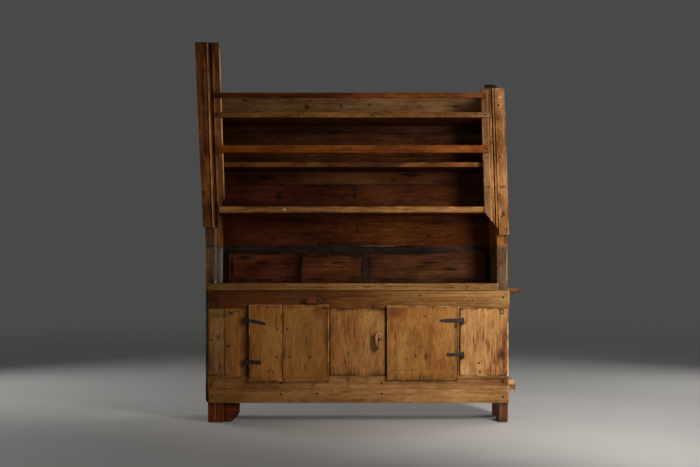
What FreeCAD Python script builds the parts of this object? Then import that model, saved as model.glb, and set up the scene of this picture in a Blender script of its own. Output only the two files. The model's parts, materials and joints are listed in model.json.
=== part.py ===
import FreeCAD, Part
import math
import os

Vector = FreeCAD.Vector

# Shared stock
board = 28.0
overrun = 40.0
joint_gap = 0.4
end_play = 0.5
bead_arris = 3.0
edge_tolerance = 0.1

# Base carcass, x from the middle of the front, y from the front face, z from the floor
front_half = 865.0
top_rail_over = 3.2
side_thick = 61.0
side_depth = 350.0
left_side_over = 18.0
right_side_in = 4.8
front_foot_depth = 150.5
foot_arch_width = 116.0
foot_arch_height = 122.0

# Front boards, joints and openings as shares of the half width
front_bottom = 115.0
lower_rail_height = 83.0
upper_rail_height = 72.5
opening_height = 388.5
top_rail_height = 103.0
left_joint_share = 0.890
left_hinge_side_share = 0.735
left_free_side_share = 0.1875
right_free_side_share = 0.1815
right_hinge_side_share = 0.675
right_board_short = 3.1
tongue_thick = 9.0
tongue_length = 19.5
tongue_inset = 14.0

# Worktop and its batten
worktop_thick = 40.0
worktop_nosing = 14.5
worktop_left_short = 4.2
worktop_split_share = 0.42
worktop_arris = 7.0
housing = 12.0
batten_set_back = 62.0
batten_width = 42.0
batten_height = 31.0
batten_let_in = 12.5
batten_stub = 20.5
batten_reach = 79.0

# Floor and its bearers
floor_drop = 25.0
floor_thick = 33.0
tenon_width = 80.0
front_tenon_set_back = 38.0
back_tenon_set_in = 36.5
front_tenon_reach = 44.0
bearer_height = 36.0
bearer_width = 50.0
bearer_reach = 55.0

# Left foot
foot_block_width = 43.0
foot_block_depth = 70.0
bracket_set_back = 51.0
bracket_thick = 22.5
bracket_width = 89.0
bracket_toe = 41.0
bracket_heel = 56.0
bracket_bulge_share = 0.1

# Rear boards
back_thick = 22.0
back_margin = 10.0
back_bottom = 121.0
base_back_count = 4
back_gap = 1.6
rack_back_low_share = 0.416
rack_back_high_share = 0.757

# Panelled band above the worktop
band_rise = 214.0
band_over = 11.5
band_thick = 21.0
band_rail_height = 44.5
band_left_width = 35.0
band_right_width = 29.5
band_end_gap = 0.8
muntin_share = 0.0243
muntin_width = 43.5
panel_thick = 10.5
panel_entry = 8.0
panel_joint_share = 0.402

# Plate rack: each height is a rise above the piece below it
rack_lean_deg = 1.9
bottom_shelf_rise = 230.0
middle_shelf_rise = 260.0
top_shelf_rise = 280.0
left_side_rise = 379.0
right_side_front_rise = 128.0
right_side_back_rise = 225.0
left_stile_rise = 403.0
right_stile_rise = 139.0
rack_back_rise = 154.0
stile_flat_thick = 24.0
stile_proud_thick = 36.0
quirk = 3.3
left_stile_over = 18.5
left_stile_start = 109.0
left_flat_stop = 44.0
left_outer_flat = 59.0
left_bead_radius = 9.5
left_hollow = 14.0
left_small_bead = 4.1
left_inner_flat = 35.5
left_stile_taper = 11.0
right_stile_over = 7.2
right_stile_start = 68.0
right_outer_flat = 57.0
right_bead_radius = 6.0
right_hollow = 4.0
right_small_bead = 3.6
right_inner_flat = 50.0
right_rake_drop = 35.0
right_rake_rise = 28.5
hollow_drop = 3.4

# Rack shelves and rails
bottom_shelf_thick = 36.0
bottom_shelf_set_back = 9.0
middle_shelf_thick = 29.0
middle_shelf_set_back = 32.0
top_shelf_thick = 31.0
shelf_housing = 15.5
shelf_play = 2.0
rail_thick = 20.0
rail_arris = 2.5
plate_rail_top_inset = 27.0
plate_rail_top_height = 29.0
plate_rail_middle_rise = 91.0
plate_rail_middle_height = 44.0
top_rail_lap = 31.5
middle_rail_lap = 19.0

# Doors
door_thick = 25.0
door_face_gap = 1.0
door_side_gap = 6.0
door_free_gap = 5.0
left_door_lap_low = 31.0
left_door_lap_high = 24.0
left_door_split_share = 0.419
right_door_lap_low = 23.0
right_door_lap_high = 17.0
ledge_thick = 22.0
ledge_height = 59.0
ledge_margin = 27.0
ledge_bevel = 8.0
left_ledge_shares = (0.206, 0.627)
right_ledge_shares = (0.123, 0.707)
ledge_nail_shares = (0.08, 0.30, 0.62, 0.92)
left_face_nail_shares = ((0.350, 0.505, 0.763), (0.361, 0.479))

# Strap hinges
hinge_offset = 13.0
pin_radius = 5.0
pin_play = 0.05
eye_radius = 8.5
strap_thick = 4.0
strap_root = 25.0
strap_neck_run_share = 0.31
upper_neck_share = 0.76
broad_neck_share = 0.98
lower_neck_share = 0.82
strap_tip_share = 0.4
long_point = 38.0
blunt_point = 6.0
left_upper_hinge_share = 0.833
left_lower_hinge_share = 0.213
right_upper_hinge_share = 0.823
right_lower_hinge_share = 0.321
left_upper_strap = 118.0
left_lower_strap = 92.0
right_upper_strap = 132.0
right_lower_strap = 92.5
left_upper_drop = 23.0
left_lower_drop = 3.0
spike_size = 9.0
spike_depth = 46.0
spike_point = 16.0
spike_tip = 1.0
seat_gap = 0.3
pin_stand = 4.0
pin_dome = 2.0

# Turn-buttons
button_thick = 24.0
button_front_gap = 2.0
spacer_radius = 14.5
button_seat_gap = 0.3
button_bevel = 4.0
pivot_radius = 4.0
pivot_head_radius = 8.0
pivot_head_height = 3.5
pivot_depth = 24.0
left_button_inset = 68.0
left_button_rise = 46.0
left_button_head = 20.0
left_button_arm = 70.0
left_button_tip = 17.0
right_button_inset = 40.0
right_button_share = 0.548
right_button_head = 23.0
right_button_tail = 44.0
right_button_arm = 61.0
right_button_tip = 12.0

# Nails: sizes, then places as shares of the half width and of the height of the board
nail_head = 11.0
nail_head_height = 3.5
nail_shank = 5.0
nail_point = 1.5
short_nail = 24.0
long_nail = 62.0
clench_nail = 40.0
strap_nail_length = 22.0
rail_nail_inset = 17.0
top_rail_nail_shares = ((-0.376, 0.71), (0.405, 0.71))
lower_rail_nail_shares = ((-0.517, 0.62), (-0.276, 0.64), (0.154, 0.64))
stile_nail_shares = ((0.798, 0.193), (0.806, 0.062), (-0.865, 0.445))
floor_nail_shares = (-0.517, 0.154)
lipping_nail_shares = (-0.397, 0.089, 0.580)
left_plank_nail_share = 0.62
right_plank_nail_share = 0.53
left_plank_height_shares = (0.057, 0.159, 0.530)
right_plank_height_shares = (0.053, 0.180, 0.885)
left_stile_nail_shares = (0.148, 0.512, 0.845)
right_stile_nail_shares = (0.123, 0.529, 0.881)

# Worked out from the sizes above
left_side_outer = -front_half - left_side_over
left_side_inner = left_side_outer + side_thick
right_side_outer = front_half - right_side_in
right_side_inner = right_side_outer - side_thick
side_front = board
side_back = side_front + side_depth
bottom_split = front_bottom + lower_rail_height
bottom_rail_top = bottom_split + upper_rail_height
top_rail_bottom = bottom_rail_top + opening_height
worktop_bottom = top_rail_bottom + top_rail_height
worktop_top = worktop_bottom + worktop_thick
worktop_left_end = left_side_outer + worktop_left_short
worktop_split = side_front + side_depth * worktop_split_share
batten_start = side_front + batten_set_back
left_joint = -front_half * left_joint_share
left_opening_start = -front_half * left_hinge_side_share
left_opening_end = -front_half * left_free_side_share
right_opening_start = front_half * right_free_side_share
right_opening_end = front_half * right_hinge_side_share
right_board_end = front_half - right_board_short
floor_top = bottom_rail_top - floor_drop
floor_bottom = floor_top - floor_thick
floor_split = (side_front + side_back) / 2
front_tenon_start = side_front + front_tenon_set_back
back_tenon_start = side_back - back_tenon_set_in - tenon_width
base_side_height = worktop_top + band_rise
band_top = base_side_height + band_over
band_front = side_back - band_thick
band_end = right_side_inner - band_end_gap
muntin_start = front_half * muntin_share
panel_joint = -front_half * panel_joint_share
slope = math.tan(math.radians(rack_lean_deg))
bottom_shelf_top = base_side_height + bottom_shelf_rise
middle_shelf_top = bottom_shelf_top + middle_shelf_rise
top_shelf_top = middle_shelf_top + top_shelf_rise
left_side_top = top_shelf_top + left_side_rise
right_side_front_top = top_shelf_top + right_side_front_rise
right_side_back_top = top_shelf_top + right_side_back_rise
left_stile_top = top_shelf_top + left_stile_rise
left_stile_bottom = base_side_height + left_stile_start
left_flat_bottom = bottom_shelf_top + left_flat_stop
right_stile_top = top_shelf_top + right_stile_rise
right_stile_bottom = base_side_height + right_stile_start
right_rake_top = bottom_shelf_top - right_rake_drop
right_rake_bottom = right_stile_bottom + right_rake_rise
rack_back_top = top_shelf_top + rack_back_rise
rack_back_span = rack_back_top - base_side_height
rack_back_joint_low = base_side_height + rack_back_span * rack_back_low_share
rack_back_joint_high = base_side_height + rack_back_span * rack_back_high_share
plate_rail_top_z = right_stile_top - plate_rail_top_inset
plate_rail_middle_z = middle_shelf_top + plate_rail_middle_rise
flat_front = board - stile_flat_thick
proud_front = board - stile_proud_thick
rail_front = flat_front - rail_thick
door_back = -door_face_gap
door_front = door_back - door_thick
strap_front = door_front - strap_thick
hinge_y = strap_front + eye_radius
left_hinge_x = left_opening_start - hinge_offset
right_hinge_x = right_opening_end + hinge_offset
left_door_start = left_opening_start + door_side_gap
left_door_end = left_opening_end - door_free_gap
left_door_split = left_door_start + (left_door_end - left_door_start) * left_door_split_share
left_door_bottom = bottom_rail_top - left_door_lap_low
left_door_top = top_rail_bottom + left_door_lap_high
right_door_start = right_opening_start + door_free_gap
right_door_end = right_opening_end - door_side_gap
right_door_bottom = bottom_rail_top - right_door_lap_low
right_door_top = top_rail_bottom + right_door_lap_high
button_back = door_front - button_front_gap
button_front = button_back - button_thick
left_button_x = left_opening_end - left_button_inset
left_button_z = top_rail_bottom + left_button_rise
right_button_x = right_opening_start - right_button_inset
right_button_z = bottom_rail_top + opening_height * right_button_share


def up_the_opening(share):
    return bottom_rail_top + opening_height * share


def slab(x0, x1, y0, y1, z0, z1):
    return Part.makeBox(x1 - x0, y1 - y0, z1 - z0, Vector(x0, y0, z0))


def outline_xz(points, y0, y1):
    wire = Part.makePolygon([Vector(x, y0, z) for x, z in points + points[:1]])
    return Part.Face(wire).extrude(Vector(0, y1 - y0, 0))


def outline_yz(points, x0, x1):
    wire = Part.makePolygon([Vector(x0, y, z) for y, z in points + points[:1]])
    return Part.Face(wire).extrude(Vector(x1 - x0, 0, 0))


def taper(x, z, y0, size0, y1, size1):
    near = size0 / 2
    far = size1 / 2
    if y0 > y1:
        return taper(x, z, y1, size1, y0, size0)
    return Part.makeWedge(x - near, y0, z - near, z - far, x - far,
                          x + near, y1, z + near, z + far, x + far)


def lean(z):
    return -(z - base_side_height) * slope


def ease(shape, radius, keep):
    edges = [edge for edge in shape.Edges if keep(edge)]
    return shape.makeFillet(radius, edges)


def along_x(edge):
    first = edge.Vertexes[0].Point
    last = edge.Vertexes[-1].Point
    return abs(first.y - last.y) < edge_tolerance and abs(first.z - last.z) < edge_tolerance


def front_edges(shape, front):
    return lambda edge: along_x(edge) and abs(edge.CenterOfMass.y - front) < edge_tolerance


# Base carcass
def base_side(outer_x):
    shape = slab(outer_x, outer_x + side_thick, side_front, side_back, 0, base_side_height)
    radius = foot_arch_width / 2
    start = side_front + front_foot_depth
    spring = foot_arch_height - radius
    arch = slab(outer_x - overrun, outer_x + side_thick + overrun, start, start + foot_arch_width,
                -overrun, spring)
    top = Part.makeCylinder(radius, side_thick + overrun + overrun,
                            Vector(outer_x - overrun, start + radius, spring), Vector(1, 0, 0))
    return shape.cut(arch).cut(top)


def floor_board(y0, y1, tenon_start, reach):
    body = slab(left_side_inner, right_side_inner, y0, y1, floor_bottom, floor_top)
    tenon = slab(left_side_outer, right_side_outer + reach, tenon_start, tenon_start + tenon_width,
                 floor_bottom, floor_top)
    return body.fuse(tenon).removeSplitter()


def floor_bearer(tenon_start, reach):
    start = tenon_start + (tenon_width - bearer_width) / 2
    return slab(left_side_outer, right_side_outer + reach, start, start + bearer_width,
                floor_bottom - bearer_height, floor_bottom)


def worktop_batten():
    top = worktop_bottom + batten_let_in
    return slab(left_side_inner - batten_stub, right_side_outer + batten_reach,
                batten_start, batten_start + batten_width, top - batten_height, top)


def worktop_front():
    body = slab(left_side_inner - housing, right_side_inner + housing, side_front, worktop_split,
                worktop_bottom, worktop_top)
    nosing = slab(worktop_left_end, right_side_inner - joint_gap, -worktop_nosing, side_front,
                  worktop_bottom, worktop_top)
    shape = body.fuse(nosing).removeSplitter()
    return ease(shape, worktop_arris, front_edges(shape, -worktop_nosing))


def worktop_back():
    return slab(left_side_inner - housing, right_side_inner + housing, worktop_split + joint_gap,
                side_back, worktop_bottom, worktop_top)


def front_rail(z0, z1, x0, x1):
    shape = slab(x0, x1, 0, board, z0, z1)
    return ease(shape, bead_arris, front_edges(shape, 0))


def groove_for(x0, x1, z0, z1):
    middle = board / 2
    return slab(x0 + tongue_inset - end_play, x1 - tongue_inset + end_play,
                middle - tongue_thick / 2, middle + tongue_thick / 2, z0, z1)


def front_stile(x0, x1):
    body = slab(x0, x1, 0, board, bottom_rail_top, top_rail_bottom)
    middle = board / 2
    tongue = slab(x0 + tongue_inset, x1 - tongue_inset, middle - tongue_thick / 2,
                  middle + tongue_thick / 2, bottom_rail_top - tongue_length,
                  top_rail_bottom + tongue_length)
    return body.fuse(tongue).removeSplitter()


def left_foot_block():
    return slab(left_side_inner, left_side_inner + foot_block_width, side_front,
                side_front + foot_block_depth, 0, floor_bottom - bearer_height)


def left_foot_bracket():
    start = left_side_inner + foot_block_width
    front = side_front + bracket_set_back - bracket_thick
    toe = start + bracket_toe
    end = start + bracket_width
    points = [Vector(start, front, 0), Vector(toe, front, 0)]
    heel = Vector(end, front, bracket_heel)
    bulge = bracket_toe * bracket_bulge_share
    bend = Vector((toe + end) / 2 + bulge, front, bracket_heel / 2 - bulge)
    top = floor_bottom - bearer_height
    edges = [Part.makeLine(points[0], points[1]), Part.Arc(points[1], bend, heel).toShape()]
    edges.append(Part.makeLine(heel, Vector(end, front, top)))
    edges.append(Part.makeLine(Vector(end, front, top), Vector(start, front, top)))
    edges.append(Part.makeLine(Vector(start, front, top), points[0]))
    return Part.Face(Part.Wire(edges)).extrude(Vector(0, bracket_thick, 0))


def base_back_board(index):
    pitch = (base_side_height - back_bottom) / base_back_count
    low = back_bottom + index * pitch
    return slab(left_side_outer + back_margin, right_side_outer - back_margin, side_back,
                side_back + back_thick, low, low + pitch - back_gap)


# Panelled band above the worktop
def band_groove(x0, x1, z0, z1):
    middle = band_front + band_thick / 2
    return slab(x0, x1, middle - panel_thick / 2, middle + panel_thick / 2, z0, z1)


def band_rail():
    shape = slab(left_side_inner, band_end, band_front, side_back, band_top - band_rail_height, band_top)
    groove = band_groove(left_side_inner - overrun, right_side_inner + overrun,
                         band_top - band_rail_height - overrun,
                         band_top - band_rail_height + panel_entry)
    return ease(shape.cut(groove), bead_arris, front_edges(shape, band_front))


def band_upright(x0, x1, groove_left, groove_right):
    top = band_top - band_rail_height
    shape = slab(x0, x1, band_front, side_back, worktop_top, top)
    shape = shape.fuse(band_groove(x0, x1, top, top + panel_entry)).removeSplitter()
    low = worktop_top - overrun
    if groove_left:
        shape = shape.cut(band_groove(x0 - overrun, x0 + panel_entry, low, top + overrun))
    if groove_right:
        shape = shape.cut(band_groove(x1 - panel_entry, x1 + overrun, low, top + overrun))
    return shape


def band_panel(x0, x1):
    return band_groove(x0, x1, worktop_top, band_top - band_rail_height + panel_entry - end_play)


# Plate rack
def rack_side(outer_x, top):
    inner = outer_x + side_thick
    low = base_side_height
    points = [(outer_x, low), (inner, low), (inner + lean(top), top), (outer_x + lean(top), top)]
    return outline_xz(points, side_front, side_back)


def above_right_side():
    high = right_side_back_top + overrun
    points = [(side_front - overrun, right_side_front_top), (side_front, right_side_front_top),
              (side_back, right_side_back_top), (side_back, high), (side_front - overrun, high)]
    return outline_yz(points, right_side_inner + lean(high) - overrun, right_side_outer)


def stile_profile(outer_x, turn, outer_flat, bead, hollow, small, inner_flat, z):
    def point(offset, y):
        return Vector(outer_x + turn * offset, y, z)

    def line(first, last):
        return Part.makeLine(point(*first), point(*last))

    def arch(start, y, radius):
        return Part.Arc(point(start, y), point(start + radius, y - radius),
                        point(start + radius + radius, y)).toShape()

    bead_y = proud_front + bead
    bead_start = outer_flat + quirk
    bead_end = bead_start + bead + bead
    hollow_y = flat_front + hollow_drop
    small_start = bead_end + hollow
    small_end = small_start + small + small
    width = small_end + inner_flat
    corners = [(0, board), (0, proud_front), (outer_flat, proud_front), (outer_flat, bead_y),
               (bead_start, bead_y)]
    edges = [line(first, last) for first, last in zip(corners, corners[1:])]
    edges.append(arch(bead_start, bead_y, bead))
    middle = [(bead_end, bead_y), (bead_end, hollow_y), (small_start, hollow_y)]
    edges += [line(first, last) for first, last in zip(middle, middle[1:])]
    edges.append(arch(small_start, hollow_y, small))
    closing = [(small_end, hollow_y), (small_end, flat_front), (width, flat_front), (width, board),
               (0, board)]
    edges += [line(first, last) for first, last in zip(closing, closing[1:])]
    return Part.Face(Part.Wire(edges))


def stile_width(outer_flat, bead, hollow, small, inner_flat):
    return outer_flat + quirk + bead + bead + hollow + small + small + inner_flat


left_stile_outer = left_side_outer - left_stile_over
right_stile_outer = right_side_outer + right_stile_over
left_stile_width = stile_width(left_outer_flat, left_bead_radius, left_hollow, left_small_bead,
                               left_inner_flat)
right_stile_width = stile_width(right_outer_flat, right_bead_radius, right_hollow,
                                right_small_bead, right_inner_flat)
left_flat_start = left_stile_outer + left_stile_width - left_inner_flat
left_stile_inner = left_stile_outer + left_stile_width
right_stile_inner = right_stile_outer - right_stile_width
right_flat_end = right_stile_inner + right_inner_flat


def leaning_stile(outer_x, turn, outer_flat, bead, hollow, small, inner_flat, low, top):
    face = stile_profile(outer_x, turn, outer_flat, bead, hollow, small, inner_flat, low - overrun)
    rise = top - low
    shape = face.extrude(Vector(0, 0, rise + overrun + overrun))
    shape.rotate(Vector(outer_x, 0, base_side_height), Vector(0, 1, 0), -rack_lean_deg)
    return shape.common(slab(outer_x - rise, outer_x + rise, proud_front, board, low, top))


def rack_stile_left():
    low = left_stile_bottom
    shape = leaning_stile(left_stile_outer, 1, left_outer_flat, left_bead_radius, left_hollow,
                          left_small_bead, left_inner_flat, low, left_stile_top)
    broken = slab(left_flat_start + lean(left_flat_bottom), left_stile_inner + overrun,
                  proud_front - overrun, board + overrun, low - overrun, left_flat_bottom)
    edge = [(left_stile_outer + lean(low) - overrun, low - overrun),
            (left_stile_outer + lean(low) + left_stile_taper, low - overrun),
            (left_stile_outer + lean(low) + left_stile_taper, low),
            (left_stile_outer + lean(left_stile_top), left_stile_top),
            (left_stile_outer + lean(left_stile_top) - overrun, left_stile_top)]
    return shape.cut(broken).cut(outline_xz(edge, proud_front - overrun, board + overrun))


def rack_stile_right():
    low = right_stile_bottom
    shape = leaning_stile(right_stile_outer, -1, right_outer_flat, right_bead_radius, right_hollow,
                          right_small_bead, right_inner_flat, low, right_stile_top)
    inner = right_stile_inner + lean(right_rake_top)
    end = right_stile_outer - right_outer_flat + lean(right_rake_bottom)
    corner = [(inner - overrun, right_rake_top), (inner, right_rake_top), (end, right_rake_bottom),
              (end, low - overrun), (inner - overrun, low - overrun)]
    return shape.cut(outline_xz(corner, proud_front - overrun, board + overrun))


def shelf(top, thick, front):
    low = top - thick
    return slab(left_side_inner + lean(low) - shelf_housing, right_side_inner + lean(top) + shelf_housing,
                front, side_back, low, top)


def notched_shelf(top, thick, front, left_edge):
    body = shelf(top, thick, side_front)
    low = top - thick
    tongue = slab(left_edge + lean(low) + shelf_play, right_stile_inner + lean(top) - shelf_play,
                  front, side_front, low, top)
    return body.fuse(tongue).removeSplitter()


def front_strip(top, height, right_end):
    low = top - height
    shape = slab(left_flat_start + lean(low) + joint_gap, right_end + lean(top), rail_front, flat_front,
                 low, top)
    return ease(shape, rail_arris, front_edges(shape, rail_front))


def rack_back_board(low, high):
    left = left_side_outer + back_margin
    right = right_side_outer - back_margin
    top = high - back_gap
    points = [(left + lean(low), low), (right + lean(low), low), (right + lean(top), top),
              (left + lean(top), top)]
    return outline_xz(points, side_back, side_back + back_thick)


# Doors
def door_board(x0, x1, z0, z1):
    shape = slab(x0, x1, door_front, door_back, z0, z1)
    edges = [edge for edge in shape.Edges if abs(edge.CenterOfMass.y - door_front) < edge_tolerance]
    return shape.makeChamfer(bead_arris, edges)


def ledge(x0, x1, z0):
    back = door_back + ledge_thick
    z1 = z0 + ledge_height
    points = [(door_back, z0), (back - ledge_bevel, z0), (back, z0 + ledge_bevel),
              (back, z1 - ledge_bevel), (back - ledge_bevel, z1), (door_back, z1)]
    return outline_yz(points, x0, x1)


def ledges(x0, x1, heights):
    return Part.makeCompound([ledge(x0 + ledge_margin, x1 - ledge_margin, z) for z in heights])


def door_ledge_heights(shares):
    return [up_the_opening(share) for share in shares]


def strap_fall(run, length, drop):
    return drop * max(run - eye_radius, 0) / (length - eye_radius)


def strap(hinge_x, turn, z, length, drop, point, neck_share):
    half = strap_root / 2
    neck = half * neck_share
    upper = [(0, half), (eye_radius, half), (length * strap_neck_run_share, neck), (length - point, neck),
             (length, neck * strap_tip_share)]
    lower = [(run, -rise) for run, rise in reversed(upper)]
    points = [(hinge_x + turn * run, z + rise - strap_fall(run, length, drop)) for run, rise in upper + lower]
    plate = outline_xz(points, strap_front, door_front)
    low = Vector(hinge_x, hinge_y, z - half)
    eye = Part.makeCylinder(eye_radius, strap_root, low)
    bore = Part.makeCylinder(pin_radius + pin_play, strap_root + overrun + overrun,
                             low - Vector(0, 0, overrun))
    return plate.fuse(eye).removeSplitter().cut(bore)


def pintle(hinge_x, z):
    low = z - strap_root / 2 - seat_gap - spike_size
    rise = strap_root + seat_gap + spike_size + pin_stand
    pin = Part.makeCylinder(pin_radius, rise, Vector(hinge_x, hinge_y, low))
    cap = Part.makeCone(pin_radius, pin_radius - pin_dome, pin_dome,
                        Vector(hinge_x, hinge_y, low + rise))
    half = spike_size / 2
    boss = Part.makeCylinder(eye_radius, spike_size, Vector(hinge_x, hinge_y, low))
    bar = slab(hinge_x - half, hinge_x + half, hinge_y, spike_depth - spike_point, low,
               low + spike_size)
    point = taper(hinge_x, low + half, spike_depth - spike_point, spike_size, spike_depth, spike_tip)
    return pin.fuse([cap, boss, bar, point]).removeSplitter()


# Turn-buttons
def turn_button(x, z, direction, head, tail, arm, tip):
    def place(run, rise):
        if direction == "left":
            return Vector(x - run, button_back, z - rise)
        return Vector(x + rise, button_back, z - run)

    bend = tail - head
    edges = [Part.Arc(place(-bend, head), place(-tail, 0), place(-bend, -head)).toShape(),
             Part.makeLine(place(-bend, -head), place(head, -head)),
             Part.makeLine(place(head, -head), place(arm - tip, -tip)),
             Part.makeLine(place(arm - tip, -tip), place(arm, -tip + button_bevel)),
             Part.makeLine(place(arm, -tip + button_bevel), place(arm, tip - button_bevel)),
             Part.makeLine(place(arm, tip - button_bevel), place(arm - tip, tip)),
             Part.makeLine(place(arm - tip, tip), place(head, head)),
             Part.makeLine(place(head, head), place(-bend, head))]
    edges = [edge for edge in edges if edge.Length > edge_tolerance]
    body = Part.Face(Part.Wire(edges)).extrude(Vector(0, -button_thick, 0))
    front = [edge for edge in body.Edges if abs(edge.CenterOfMass.y - button_front) < edge_tolerance]
    bore = Part.makeCylinder(pivot_radius + pin_play, overrun - button_front,
                             Vector(x, overrun, z), Vector(0, -1, 0))
    return body.makeChamfer(button_bevel, front).cut(bore)


def button_spacer(x, z):
    disc = Part.makeCylinder(spacer_radius, -button_back - button_seat_gap, Vector(x, 0, z), Vector(0, -1, 0))
    return disc.cut(pivot_hole(x, z))


def pivot(x, z):
    head_y = button_front - button_seat_gap
    shank = Part.makeCylinder(pivot_radius, pivot_depth - head_y, Vector(x, pivot_depth, z),
                              Vector(0, -1, 0))
    head = Part.makeCone(pivot_head_radius, pivot_radius, pivot_head_height, Vector(x, head_y, z),
                         Vector(0, -1, 0))
    return shank.fuse(head).removeSplitter()


def pivot_hole(x, z):
    depth = pivot_depth + end_play
    return Part.makeCylinder(pivot_radius + pin_play, depth + overrun, Vector(x, depth, z),
                             Vector(0, -1, 0))


# Nails, driven backward into a front face or forward into a rear face
def nail(x, z, face, length, drive=1):
    head = taper(x, z, face, nail_head, face - drive * nail_head_height, nail_shank)
    shank = taper(x, z, face, nail_shank, face + drive * length, nail_point)
    return head.fuse(shank)


def front_face_nails():
    left_x = left_side_outer + side_thick * left_plank_nail_share
    right_x = right_side_inner + side_thick * right_plank_nail_share
    span = worktop_top - front_bottom
    nails = [nail(left_x, front_bottom + span * share, 0, long_nail) for share in left_plank_height_shares]
    nails += [nail(right_x, front_bottom + span * share, 0, long_nail) for share in right_plank_height_shares]
    middle = floor_top - floor_thick / 2
    nails += [nail(front_half * share, middle, 0, long_nail) for share in floor_nail_shares]
    nails += [nail(front_half * x, top_rail_bottom + top_rail_height * z, 0, short_nail)
              for x, z in top_rail_nail_shares]
    nails += [nail(front_half * x, front_bottom + lower_rail_height * z, 0, short_nail)
              for x, z in lower_rail_nail_shares]
    nails += [nail(front_half * x, up_the_opening(z), 0, short_nail) for x, z in stile_nail_shares]
    return Part.makeCompound(nails)


def rack_nails():
    lipping = top_shelf_top - top_shelf_thick / 2
    nails = [nail(front_half * share, lipping, rail_front, long_nail) for share in lipping_nail_shares]
    rails = [plate_rail_top_z - plate_rail_top_height / 2, plate_rail_middle_z - plate_rail_middle_height / 2,
             lipping]
    for z in rails:
        nails.append(nail(left_flat_start + lean(z) + rail_nail_inset, z, rail_front, short_nail))
        nails.append(nail(right_stile_inner + lean(z) + rail_nail_inset, z, rail_front, short_nail))
    for share in left_stile_nail_shares:
        z = left_stile_bottom + (left_stile_top - left_stile_bottom) * share
        nails.append(nail(left_side_outer + lean(z) + side_thick / 2, z, proud_front, long_nail))
    for share in right_stile_nail_shares:
        z = right_stile_bottom + (right_stile_top - right_stile_bottom) * share
        nails.append(nail(right_side_outer + lean(z) - side_thick / 2, z, proud_front, long_nail))
    return Part.makeCompound(nails)


def ledge_nails(start, end, heights):
    span = end - start - ledge_margin - ledge_margin
    first = start + ledge_margin
    back = door_back + ledge_thick
    return [nail(first + span * share, z + ledge_height / 2, back, clench_nail, -1)
            for z in heights for share in ledge_nail_shares]


def strap_nails(hinge_x, turn, z, length, drop, point, neck_share):
    first = hinge_offset + door_side_gap + nail_head
    second = length - point - nail_head
    return [nail(hinge_x + turn * run, z - strap_fall(run, length, drop), strap_front, strap_nail_length)
            for run in (first, second)]


parts = {}
parts["base_side_left"] = base_side(left_side_outer)
parts["base_side_right"] = base_side(right_side_inner)
parts["floor_board_front"] = floor_board(side_front, floor_split, front_tenon_start, front_tenon_reach)
parts["floor_board_back"] = floor_board(floor_split + joint_gap, side_back, back_tenon_start, 0)
parts["floor_bearer_front"] = floor_bearer(front_tenon_start, bearer_reach)
parts["floor_bearer_back"] = floor_bearer(back_tenon_start, 0)
parts["worktop_batten"] = worktop_batten()
parts["worktop_front_board"] = worktop_front().cut(parts["worktop_batten"])
parts["worktop_back_board"] = worktop_back()
through = [parts[name] for name in ("floor_board_front", "floor_board_back", "floor_bearer_front",
                                    "floor_bearer_back", "worktop_batten", "worktop_front_board",
                                    "worktop_back_board")]
for name in ("base_side_left", "base_side_right"):
    parts[name] = parts[name].cut(through)

stile_spans = {"front_stile_left_outer": (-front_half, left_joint),
               "front_stile_left_inner": (left_joint + joint_gap, left_opening_start),
               "front_stile_centre": (left_opening_end, right_opening_start),
               "front_stile_right": (right_opening_end, right_board_end)}
grooves = [groove_for(x0, x1, bottom_rail_top - tongue_length - end_play,
                      top_rail_bottom + tongue_length + end_play) for x0, x1 in stile_spans.values()]
pivots = [(left_button_x, left_button_z), (right_button_x, right_button_z)]
holes = [pivot_hole(x, z) for x, z in pivots]
hinges = {
    "left_strap_upper": (left_hinge_x, 1, up_the_opening(left_upper_hinge_share), left_upper_strap,
                         left_upper_drop, blunt_point, upper_neck_share),
    "left_strap_lower": (left_hinge_x, 1, up_the_opening(left_lower_hinge_share), left_lower_strap,
                         left_lower_drop, blunt_point, broad_neck_share),
    "right_strap_upper": (right_hinge_x, -1, up_the_opening(right_upper_hinge_share), right_upper_strap,
                          0, long_point, broad_neck_share),
    "right_strap_lower": (right_hinge_x, -1, up_the_opening(right_lower_hinge_share), right_lower_strap,
                          0, blunt_point, lower_neck_share)}
pintles = [pintle(hinge[0], hinge[2]) for hinge in hinges.values()]
parts["front_top_rail"] = front_rail(top_rail_bottom, worktop_bottom, -front_half,
                                     front_half + top_rail_over).cut(grooves + holes)
parts["front_bottom_rail_upper"] = front_rail(bottom_split + joint_gap, bottom_rail_top, -front_half,
                                              front_half).cut(grooves)
parts["front_bottom_rail_lower"] = front_rail(front_bottom, bottom_split, -front_half, front_half)
for name, span in stile_spans.items():
    parts[name] = front_stile(*span).cut(pintles + holes)
parts["left_foot_block"] = left_foot_block()
parts["left_foot_bracket"] = left_foot_bracket()
for index in range(base_back_count):
    parts["base_back_board_%d" % (index + 1)] = base_back_board(index)

parts["band_rail"] = band_rail()
parts["band_stile_left"] = band_upright(left_side_inner, left_side_inner + band_left_width, False, True)
parts["band_muntin"] = band_upright(muntin_start, muntin_start + muntin_width, True, True)
parts["band_stile_right"] = band_upright(band_end - band_right_width, band_end, True, False)
panel_left = left_side_inner + band_left_width - panel_entry + end_play
panel_right = band_end - band_right_width + panel_entry - end_play
muntin_end = muntin_start + muntin_width
parts["band_panel_left"] = band_panel(panel_left, panel_joint - joint_gap)
parts["band_panel_middle"] = band_panel(panel_joint, muntin_start + panel_entry - end_play)
parts["band_panel_right"] = band_panel(muntin_end - panel_entry + end_play, panel_right)

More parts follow.
